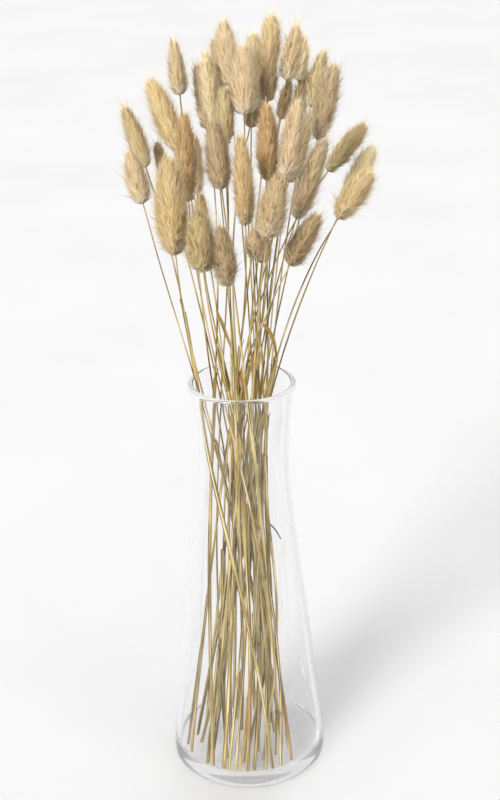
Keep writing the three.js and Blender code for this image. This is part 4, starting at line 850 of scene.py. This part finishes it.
def fluff_material(tone):
    pale, middle, streak, tips = (srgb(*c) for c in TONES[tone])
    m, nt, out = new_material("fluff_" + tone)
    along, vary = attribute(nt, "along").outputs["Fac"], attribute(nt, "vary").outputs["Fac"]
    base = ramp(nt, vary, [(0.06, pale), (0.42, middle), (0.62, middle), (0.92, streak)])
    # the roots, deep in the fluff, are darkened towards the streak colour: painted shade
    base = mix(nt, ramp(nt, along, [(0.0, grey(0.55)), (0.4, grey(0))]), base, streak)
    base = mix(nt, ramp(nt, along, [(0.45, grey(0)), (1.0, grey(0.72))]), base, tips)
    p = node(nt, "ShaderNodeBsdfPrincipled", Roughness=0.55, IOR=1.45)
    p.inputs["Specular IOR Level"].default_value = 0.25
    p.inputs["Sheen Weight"].default_value = 0.18
    p.inputs["Sheen Roughness"].default_value = 0.45
    t = nt.nodes.new("ShaderNodeBsdfTranslucent")
    for shader in (p.inputs["Base Color"], t.inputs["Color"]):
        nt.links.new(base, shader)
    ms = nt.nodes.new("ShaderNodeMixShader")
    ms.inputs["Fac"].default_value = 0.42
    nt.links.new(p.outputs["BSDF"], ms.inputs[1])
    nt.links.new(t.outputs["BSDF"], ms.inputs[2])
    nt.links.new(ms.outputs["Shader"], out.inputs["Surface"])
    return m


def glass_material():
    m, nt, out = new_material("clear_glass")
    geo = nt.nodes.new("ShaderNodeTexCoord").outputs["Object"]
    wave = noise(nt, geo, 1.0, 1.0, 0.4, (14.0, 14.0, 5.0))
    fine = noise(nt, geo, 1.0, 2.0, 0.5, (60.0, 60.0, 22.0))
    p = node(nt, "ShaderNodeBsdfPrincipled", IOR=1.42)
    p.inputs["Base Color"].default_value = (0.985, 0.984, 0.987, 1.0)
    p.inputs["Transmission Weight"].default_value = 1.0
    nt.links.new(ramp(nt, fine, [(0.4, grey(0.0)), (0.9, grey(0.012))]), p.inputs["Roughness"])
    bump = node(nt, "ShaderNodeBump", Strength=0.08, Distance=0.0005)
    nt.links.new(wave, bump.inputs["Height"])
    nt.links.new(bump.outputs["Normal"], p.inputs["Normal"])
    # light gets through to what stands inside, less so where the glass is met at a slant
    clear = nt.nodes.new("ShaderNodeBsdfTransparent")
    edge = node(nt, "ShaderNodeLayerWeight", Blend=0.35)
    path = nt.nodes.new("ShaderNodeLightPath")
    either = nt.nodes.new("ShaderNodeMath")
    either.operation = "MAXIMUM"
    nt.links.new(path.outputs["Is Shadow Ray"], either.inputs[0])
    nt.links.new(path.outputs["Is Diffuse Ray"], either.inputs[1])
    # light caught inside the wall comes out again in the end
    caught = nt.nodes.new("ShaderNodeMath")
    caught.operation = "GREATER_THAN"
    caught.inputs[1].default_value = 9.5
    nt.links.new(path.outputs["Ray Depth"], caught.inputs[0])
    slant = ramp(nt, edge.outputs["Facing"], [(0.0, grey(0.98)), (0.55, grey(0.95)), (1.0, grey(0.62))])
    nt.links.new(mix(nt, caught.outputs[0], slant, (0.93, 0.925, 0.93, 1.0)), clear.inputs["Color"])
    any_ = nt.nodes.new("ShaderNodeMath")
    any_.operation = "MAXIMUM"
    nt.links.new(either.outputs[0], any_.inputs[0])
    nt.links.new(caught.outputs[0], any_.inputs[1])
    ms = nt.nodes.new("ShaderNodeMixShader")
    nt.links.new(any_.outputs[0], ms.inputs["Fac"])
    nt.links.new(p.outputs["BSDF"], ms.inputs[1])
    nt.links.new(clear.outputs["BSDF"], ms.inputs[2])
    nt.links.new(ms.outputs["Shader"], out.inputs["Surface"])
    return m


def floor_material():
    m, nt, out = new_material("pale_floor")
    geo = nt.nodes.new("ShaderNodeTexCoord").outputs["Object"]
    p = node(nt, "ShaderNodeBsdfPrincipled", Roughness=0.7)
    p.inputs["Specular IOR Level"].default_value = 0.15
    nt.links.new(ramp(nt, noise(nt, geo, 3.0, 3.0), [(0.3, FLOOR_TONE[0]), (0.7, FLOOR_TONE[1])]), p.inputs["Base Color"])
    nt.links.new(p.outputs["BSDF"], out.inputs["Surface"])
    return m


STRAW = dict(
    khaki=(150, 129, 62),
    straw=(183, 161, 94),
    pale=(210, 194, 146),
    green=(138, 125, 56),
    tan=(168, 135, 70),
    # dark in the grooves is painted shade and pale on the ridges is a painted highlight; both colours also draw random
    # streaks
    dark_streak_and_groove_shade=(62, 44, 12),
    pale_streak_and_ridge_highlight=(214, 200, 154),
    fleck=(98, 70, 36),
    brown_low=(112, 74, 30),
    brown_high=(182, 136, 68),
    dark=(46, 34, 16),
)
FLOOR_TONE = (grey(0.385), grey(0.405))

straw = straw_material()
fluffs = {tone: fluff_material(tone) for tone in TONES}


# ---------------------------------------------------------------- the vase
def vase():
    outside = [
        (2.9, 47.3), (10, 47.1), (20, 46.4), (30, 45.35), (40, 44.1), (50, 42.8), (60, 41.65), (70, 40.65), (80, 39.7),
        (90, 38.6), (100, 37.4), (110, 36.1), (120, 34.8), (130, 33.55), (140, 32.4), (150, 31.3), (160, 30.25), (170, 29.2),
        (180, 28.2), (190, 27.4), (200, 27.02), (210, 27.02), (220, 27.4), (230, 28.25), (240, 29.6), (245, 30.4),
    ]
    zr = np.array(outside, float)
    c, arc = spline(np.stack([zr[:, 1], np.zeros(len(zr)), zr[:, 0]], 1), 4.2)
    out_r, out_z = c[:, 0], c[:, 2]
    d = unit(np.gradient(c, axis=0))
    wall = 3.5
    in_r, in_z = out_r - d[:, 2] * wall, out_z + d[:, 0] * wall
    # heel: from the flat ring round to the wall
    heel = [(0, 0), (20, 0), (38, 0), (43.2, 0)]
    for q in np.linspace(0, 1, 9)[1:-1]:
        a = q * math.pi / 2
        heel.append((43.2 + 3.9 * math.sin(a), 3.4 * (1 - math.cos(a)) ** 1.0 * 0.85))
    lip = []
    lr, lz, rad = 29.25, 248.25, 1.75
    for q in np.linspace(-0.05, 1.05, 15):
        a = q * math.pi
        lip.append((lr + rad * math.cos(a), lz + rad * math.sin(a)))
    keep = in_z > 14.5
    inner = list(zip(in_r[keep][::-1], in_z[keep][::-1]))
    # the wall runs into the thick foot by a small round, and the inside of the foot is flat
    r_in = float(np.interp(12.5, in_z, in_r))
    cr = 4.2
    floor_z = 9.0
    corner = []
    for q in np.linspace(0, 1, 8):
        a = q * math.pi / 2
        corner.append((r_in - cr + cr * math.cos(a), floor_z + cr * (1 - math.sin(a)) * 0.86))
    inside = [(r, floor_z) for r in (34, 27, 20, 13, 6.5, 0)]
    profile = heel + list(zip(out_r, out_z)) + lip + inner + corner + inside
    profile = np.array(profile, float)
    sides = 144
    n = len(profile)
    a = np.arange(sides) / sides * 2 * math.pi
    rows = profile[1:-1]
    co = np.stack([rows[:, None, 0] * np.cos(a), rows[:, None, 0] * np.sin(a), np.broadcast_to(rows[:, None, 1], (len(rows), sides))], -1).reshape(-1, 3)
    f, row, col = grid_faces(len(rows), sides)
    first, last = len(co), len(co) + 1
    co = np.concatenate([co, [[0, 0, 0], [0, 0, floor_z]]])
    i, j = np.arange(sides), (np.arange(sides) + 1) % sides
    t0 = np.stack([j, i, np.full(sides, first)], -1)
    m = (len(rows) - 1) * sides
    t1 = np.stack([m + i, m + j, np.full(sides, last)], -1)
    me = bpy.data.meshes.new("vase_glass")
    me.from_pydata((co * MM).tolist(), [], f.tolist() + t0.tolist() + t1.tolist())
    me.polygons.foreach_set("use_smooth", np.ones(len(me.polygons), bool))
    me.update()
    ob = bpy.data.objects.new("vase_glass", me)
    bpy.context.scene.collection.objects.link(ob)
    me.materials.append(glass_material())
    return ob


glass = vase()
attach(glass, "root")
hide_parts("vase")

# ---------------------------------------------------------------- the stalks
# extras on one stalk: orange is the stretch of its foot that has turned orange brown, scraps are frayed bits of sheath
# (height, length, turn), wide the loosely rolled sheath (from, to, radius, dark)
EXTRAS = {
    "stalk_14": {"full": (142, 400), "orange": (30, 74)},
    "stalk_15": {"full": (60, 200)},
    "stalk_03": {"full": (140, 200)},
    "stalk_28": {"full": (136, 215)},
    "stalk_32": {"full": (60, 400)},
    "stalk_07": {"orange": (22, 58), "scraps": [(190, 14, 1.2, 1.2)]},
    "stalk_11": {"full": (136, 232), "scraps": [(196, 16, 4.3, 1.6), (188, 10, 3.4, 1.2)]},
    "stalk_08": {"scraps": [(200, 18, 4.0, 1.3)]},
    "stalk_38": {"full": (150, 400), "wide": [(212, 276, 1.75, 0.3, 4.4)]},
    "stalk_35": {"fluff": 1.42},
    "stalk_41": {"wide": [(232, 270, 1.6, 0.22, 5.2)]},
    "stalk_17": {"scraps": [(226, 12, 0.6, 1.0)]},
    "stalk_12": {"scraps": [(232, 10, 3.6, 1.0)]},
}

leaves_of = {}
for host, kind, half, thick, pts in LEAVES:
    leaves_of.setdefault(host, []).append((kind, half, thick, pts))

heads_area = sum((s[5] * np.linalg.norm(np.subtract(s[6], s[7][-1]))) ** 0.85 for s in STALKS)

for index, (name, tone, culm, sheath, sheath_top, head_width, tip, path) in enumerate(STALKS):
    rng = np.random.default_rng(4100 + index)
    extra = EXTRAS.get(name, {})
    body = Body()
    sheet = Sheet(16)
    path = np.asarray(path, float)
    c, arc = spline(path, 1.0)
    z = c[:, 2]
    top = float(np.interp(sheath_top, z, arc))
    # the culm, from inside its sheath up into the seed head
    into = unit(c[-1] - c[-4])
    cc = np.concatenate([c, c[-1] + into * np.array([[1.5], [3.0]])])
    aa = np.concatenate([arc, arc[-1] + [1.5, 3.0]])
    s = np.arange(top - 9, aa[-1], 5.0)
    s = np.append(s, aa[-1])
    cu = at(s, aa, cc)
    share = (s - s[0]) / (s[-1] - s[0])
    r = culm * (0.92 - 0.34 * share) * (1 + 0.05 * soft_noise(s, rng, 30))
    tone_dark = {"dark": 0.10, "russet": 0.05, "cream": -0.02}.get(tone, 0.02)
    dk = np.clip(tone_dark + 0.10 * soft_noise(s, rng, 45), 0, 1)
    br = np.clip(0.06 + 0.10 * soft_noise(s, rng, 60), 0, 1)
    br = np.clip(br + 0.55 * np.exp(-((s[-1] - 3 - s) / 3.0) ** 2), 0, 1)
    stem_tone = float(rng.uniform(0, 1))
    tube(body, sheet, 0, cu, s - s[0], r, 8, index + 1, vary=stem_tone, ridges=0.05, flat=0.05 * rng.uniform(-1, 1), brown=br, dark=dk, per_column=66, turn=rng.uniform(0, 6.28), closed_end=True, hollow=0.0)
    # the sheath: wrapped round the stem, a step along its edge, with the joints of the stem as brown rings
    joints = []
    for zq in (rng.uniform(34, 92), rng.uniform(130, 190)):
        if rng.uniform(0, 1) < 0.45 and zq < sheath_top - 28:
            joints.append(float(np.interp(zq, z, arc)))
    marks = [0.0]
    for q in joints:
        marks += [q - 2.4, q - 1.1, q - 0.35, q + 0.35, q + 1.4]
    s = np.unique(np.round(np.concatenate([np.arange(0, top, 6.0), marks, [top - 8.0, top - 3.0, top]]), 3))
    s = s[(s >= 0) & (s <= top)]
    s = s[np.concatenate([[True], np.diff(s) > 0.25])]
    cu = at(s, arc, c)
    zz = np.interp(s, arc, z)
    lo, hi = extra.get("full", (400, 401))
    full = 1 / (1 + np.exp(-(zz - lo) / 5.0)) / (1 + np.exp((zz - hi) / 5.0))
    slim = min(0.82, 1.06 / sheath)
    r = sheath * (slim + (1.0 - slim) * full) * (0.98 + 0.07 * soft_noise(s, rng, 40))
    dk = np.clip(0.03 + tone_dark + 0.12 * soft_noise(s, rng, 35), 0, 1)
    br = np.clip(0.05 + 0.12 * soft_noise(s, rng, 50), 0, 1)
    for q in joints:
        r = r * (1 - 0.18 * np.exp(-((s - q + 1.6) / 1.1) ** 2) + 0.20 * np.exp(-((s - q) / 0.8) ** 2))
        br = np.clip(br + 0.3 * np.exp(-((s - q) / 1.0) ** 2), 0, 1)
        dk = np.clip(dk + 0.5 * np.exp(-((s - q + 0.8) / 0.8) ** 2), 0, 1)
    if "orange" in extra:
        lo, hi = extra["orange"]
        br = np.clip(br + 0.85 / (1 + np.exp((zz - hi) / 3.0)) / (1 + np.exp((lo - zz) / 3.0)), 0, 1)
    # the mouth of the sheath is a little open and browned
    open_ = np.exp(-((top - s) / 5.0) ** 2)
    r = r * (1 + 0.07 * open_)
    br = np.clip(br + 0.45 * np.exp(-((top - s) / 2.2) ** 2), 0, 1)
    tube(body, sheet, 0, cu, s, r, 14, index + 51, vary=stem_tone, ridges=0.05, seam=0.16, flat=rng.uniform(0.0, 0.12), brown=br, dark=dk, per_column=52, turn=rng.uniform(0, 6.28), hollow=0.62, closed_end=True)
    # a ligule: the torn edge of the sheath's mouth
    tan, u, v = frames(c)
    pt, tt, uu, vv = at(np.array([top]), arc, c, tan, u, v)
    for q in range(int(rng.integers(1, 3))):
        ang = rng.uniform(0, 2 * math.pi)
        e = uu[0] * math.cos(ang) + vv[0] * math.sin(ang)
        ln = rng.uniform(3.0, 7.5)
        ps = [
            pt[0] - tt[0] * 3.0 + e * sheath * 0.95,
            pt[0] + tt[0] * ln * 0.35 + e * (sheath * 1.02),
            pt[0] + tt[0] * ln * 0.75 + e * (sheath * 1.1 + rng.uniform(-0.1, 0.5)),
            pt[0] + tt[0] * ln + e * (sheath * 1.1 + rng.uniform(-0.2, 1.1)),
        ]
        blade(body, sheet, 0, ps, [0.5 * sheath, 0.62 * sheath, 0.4 * sheath, 0.06], 0.1, tuple(np.cross(tt[0], e)), index + q * 0.37, fold=0.3, brown=rng.uniform(0.12, 0.5), dark=0.03, step=1.2, tip_brown=0.35)
    for zs_, ln, ang, size in extra.get("scraps", []):
        q = np.array([np.interp(zs_, z, arc)])
        pt, tt, uu, vv = at(q, arc, c, tan, u, v)
        e = uu[0] * math.cos(ang) + vv[0] * math.sin(ang)
        rr = sheath if zs_ < sheath_top else culm
        ps = [
            pt[0] - tt[0] * 2 + e * rr * 0.8,
            pt[0] + tt[0] * ln * 0.3 + e * (rr * 1.05 + 0.1),
            pt[0] + tt[0] * ln * 0.65 + e * (rr + 0.5 * size),
            pt[0] + tt[0] * ln + e * (rr + 1.1 * size),
        ]
        blade(body, sheet, 0, ps, [0.4 * size, 0.7 * size, 0.5 * size, 0.06], 0.12, tuple(np.cross(tt[0], e)), index + zs_ * 0.01, fold=0.45, curl=0.6, brown=0.55, dark=0.05, step=1.5, tip_brown=0.4)
    for lo, hi, rad, shade, ang in extra.get("wide", []):
        zs_ = np.linspace(lo, hi, 7)
        q = np.interp(zs_, z, arc)
        pt, tt, uu, vv = at(q, arc, c, tan, u, v)
        e = uu * math.cos(ang) + vv * math.sin(ang)
        swell = np.sin(np.linspace(0.12, 1.0, 7) * math.pi) ** 0.6
        rr = np.maximum(rad * swell, 0.25)
        ps = pt + e * (rr * 0.35)[:, None]
        blade(body, sheet, 0, ps, rr, 0.14, tuple(np.cross(tt[0], e[0])), index + lo * 0.01, brown=0.16, dark=shade, step=3.0, tip_brown=0.5, arc_share=[0.86, 0.8, 0.72, 0.68, 0.6, 0.5, 0.3])
    for kind, half, thick, pts in leaves_of.get(name, []):
        look = {
            "blade": dict(brown=0.30, dark=0.0, tip_brown=0.35, fold=0.5, curl=0.5),
            "flag": dict(brown=0.25, dark=0.35, tip_brown=0.2, fold=0.9, curl=0.9),
            "stub": dict(brown=0.85, dark=0.05, tip_brown=0.15, fold=0.6, curl=0.0),
            "twig": dict(brown=0.25, dark=0.05, tip_brown=0.3, fold=0.9, curl=0.3),
        }[kind]
        side = np.cross(np.subtract(pts[-1], pts[0]), (0.25, -1.0, 0.1))
        if kind == "twig":
            wide_ = [h * 1.25 for h in half]
        elif kind == "flag":
            wide_ = [h * 0.8 for h in half]
        else:
            wide_ = [h * 1.15 for h in half]
        blade(body, sheet, 0, pts, wide_, thick, tuple(side), index + 0.7, step=1.4, **look)
    # the seed head
    head_width = head_width * extra.get("fluff", 1.0)
    length = float(np.linalg.norm(np.subtract(tip, path[-1])))
    budget = HAIRS * (head_width * length) ** 0.85 / heads_area
    seed_head(body, sheet, index, path[-1], tip, unit(c[-1] - c[-12]), head_width, rng, 0, 1, budget, SHAPES.get(name, (0.42, 0.5, 0.5, 0.5)), 1.0 if tone in ("rose", "tan", "taupe") else 0.4)
    me = body.mesh("grass_" + name[-2:])
    me.materials.append(straw)
    me.materials.append(fluffs[tone])
    ob = bpy.data.objects.new("grass_" + name[-2:], me)
    bpy.context.scene.collection.objects.link(ob)
    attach(ob, "root")
    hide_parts(name)

# ---------------------------------------------------------------- floor and light
def disc(name, radius, sides):
    a = np.arange(sides) / sides * 2 * math.pi
    rings = [0.25, 1.0, 3.0, radius]
    co = [(0, 0, 0)] + [(r * math.cos(x), r * math.sin(x), 0) for r in rings for x in a]
    faces = [(0, 1 + i, 1 + (i + 1) % sides) for i in range(sides)]
    for k in range(len(rings) - 1):
        for i in range(sides):
            p, q = 1 + k * sides + i, 1 + k * sides + (i + 1) % sides
            faces.append((p, p + sides, q + sides, q))
    me = bpy.data.meshes.new(name)
    me.from_pydata(co, [], faces)
    ob = bpy.data.objects.new(name, me)
    bpy.context.scene.collection.objects.link(ob)
    return ob


floor = disc("floor", 14.0, 96)
floor.location = (0, 0, -0.0002)
floor.data.materials.append(floor_material())


def sun(name, towards, spread, strength, glints=False):
    """A soft lamp a long way off, so that the floor is lit evenly."""
    data = bpy.data.lights.new(name, "SUN")
    data.angle = math.radians(spread)
    data.energy = strength
    ob = bpy.data.objects.new(name, data)
    ob.visible_glossy, ob.visible_transmission = glints, False
    ob.location = Vector(towards) * 2
    ob.rotation_mode = "QUATERNION"
    ob.rotation_quaternion = (-Vector(towards)).to_track_quat("-Z", "Y")
    bpy.context.scene.collection.objects.link(ob)
    return ob


sun("key", (-0.75, -0.95, 1.0), 20.0, 3.7, glints=True)
sun("fill", (0.95, -0.65, 0.6), 30.0, 0.75)
sun("back", (0.25, 0.8, 1.0), 30.0, 1.0)

world = bpy.data.worlds.new("studio")
bpy.context.scene.world = world
world.use_nodes = True
wn = world.node_tree
wn.nodes.clear()
wout = wn.nodes.new("ShaderNodeOutputWorld")
bg = wn.nodes.new("ShaderNodeBackground")
tc = wn.nodes.new("ShaderNodeTexCoord")
sep = wn.nodes.new("ShaderNodeSeparateXYZ")
wn.links.new(tc.outputs["Generated"], sep.inputs[0])
def world_ramp(value, lo, hi, stops):
    r = wn.nodes.new("ShaderNodeMapRange")
    r.inputs["From Min"].default_value, r.inputs["From Max"].default_value = lo, hi
    wn.links.new(value, r.inputs["Value"])
    c = wn.nodes.new("ShaderNodeValToRGB")
    el = c.color_ramp.elements
    el[0].position, el[0].color = stops[0][0], (*stops[0][1], 1)
    el[1].position, el[1].color = stops[-1][0], (*stops[-1][1], 1)
    for p, q in stops[1:-1]:
        e = el.new(p)
        e.color = (*q, 1)
    wn.links.new(r.outputs["Result"], c.inputs["Fac"])
    return c.outputs["Color"]


# brighter overhead, and two greyer sides that draw the edges of the glass
height = world_ramp(sep.outputs["Z"], -1.0, 1.0, [(0.45, WORLD[0]), (0.6, WORLD[1]), (0.95, WORLD[2])])
sides = world_ramp(sep.outputs["X"], -1.0, 1.0, [(0.0, SIDE), (0.12, SIDE), (0.24, (1, 1, 1)), (0.76, (1, 1, 1)), (0.88, SIDE), (1.0, SIDE)])
both = wn.nodes.new("ShaderNodeMix")
both.data_type, both.blend_type = "RGBA", "MULTIPLY"
both.inputs[0].default_value = 1.0
wn.links.new(height, both.inputs[6])
wn.links.new(sides, both.inputs[7])
wn.links.new(both.outputs[2], bg.inputs["Color"])
ray = wn.nodes.new("ShaderNodeLightPath")
dim = wn.nodes.new("ShaderNodeMapRange")
dim.inputs["To Min"].default_value, dim.inputs["To Max"].default_value = WORLD_STRENGTH, WORLD_STRENGTH * 0.42
wn.links.new(ray.outputs["Is Glossy Ray"], dim.inputs["Value"])
wn.links.new(dim.outputs["Result"], bg.inputs["Strength"])
plain = wn.nodes.new("ShaderNodeBackground")
plain.inputs["Color"].default_value = (0.82, 0.82, 0.82, 1)
seen = wn.nodes.new("ShaderNodeMixShader")
wn.links.new(ray.outputs["Is Camera Ray"], seen.inputs["Fac"])
wn.links.new(bg.outputs["Background"], seen.inputs[1])
wn.links.new(plain.outputs["Background"], seen.inputs[2])
wn.links.new(seen.outputs["Shader"], wout.inputs["Surface"])

scene = bpy.context.scene
scene.view_settings.view_transform = "Standard"
scene.view_settings.look = "None"
scene.view_settings.exposure = EXPOSURE
scene.cycles.max_bounces = 40
scene.cycles.diffuse_bounces = 5
scene.cycles.glossy_bounces = 32
scene.cycles.transmission_bounces = 40
scene.cycles.transparent_max_bounces = 24
scene.cycles.blur_glossy = 0.3
scene.cycles.sample_clamp_indirect = 3.0
scene.cycles.use_denoising = DENOISE
scene.cycles.denoising_prefilter = "FAST"
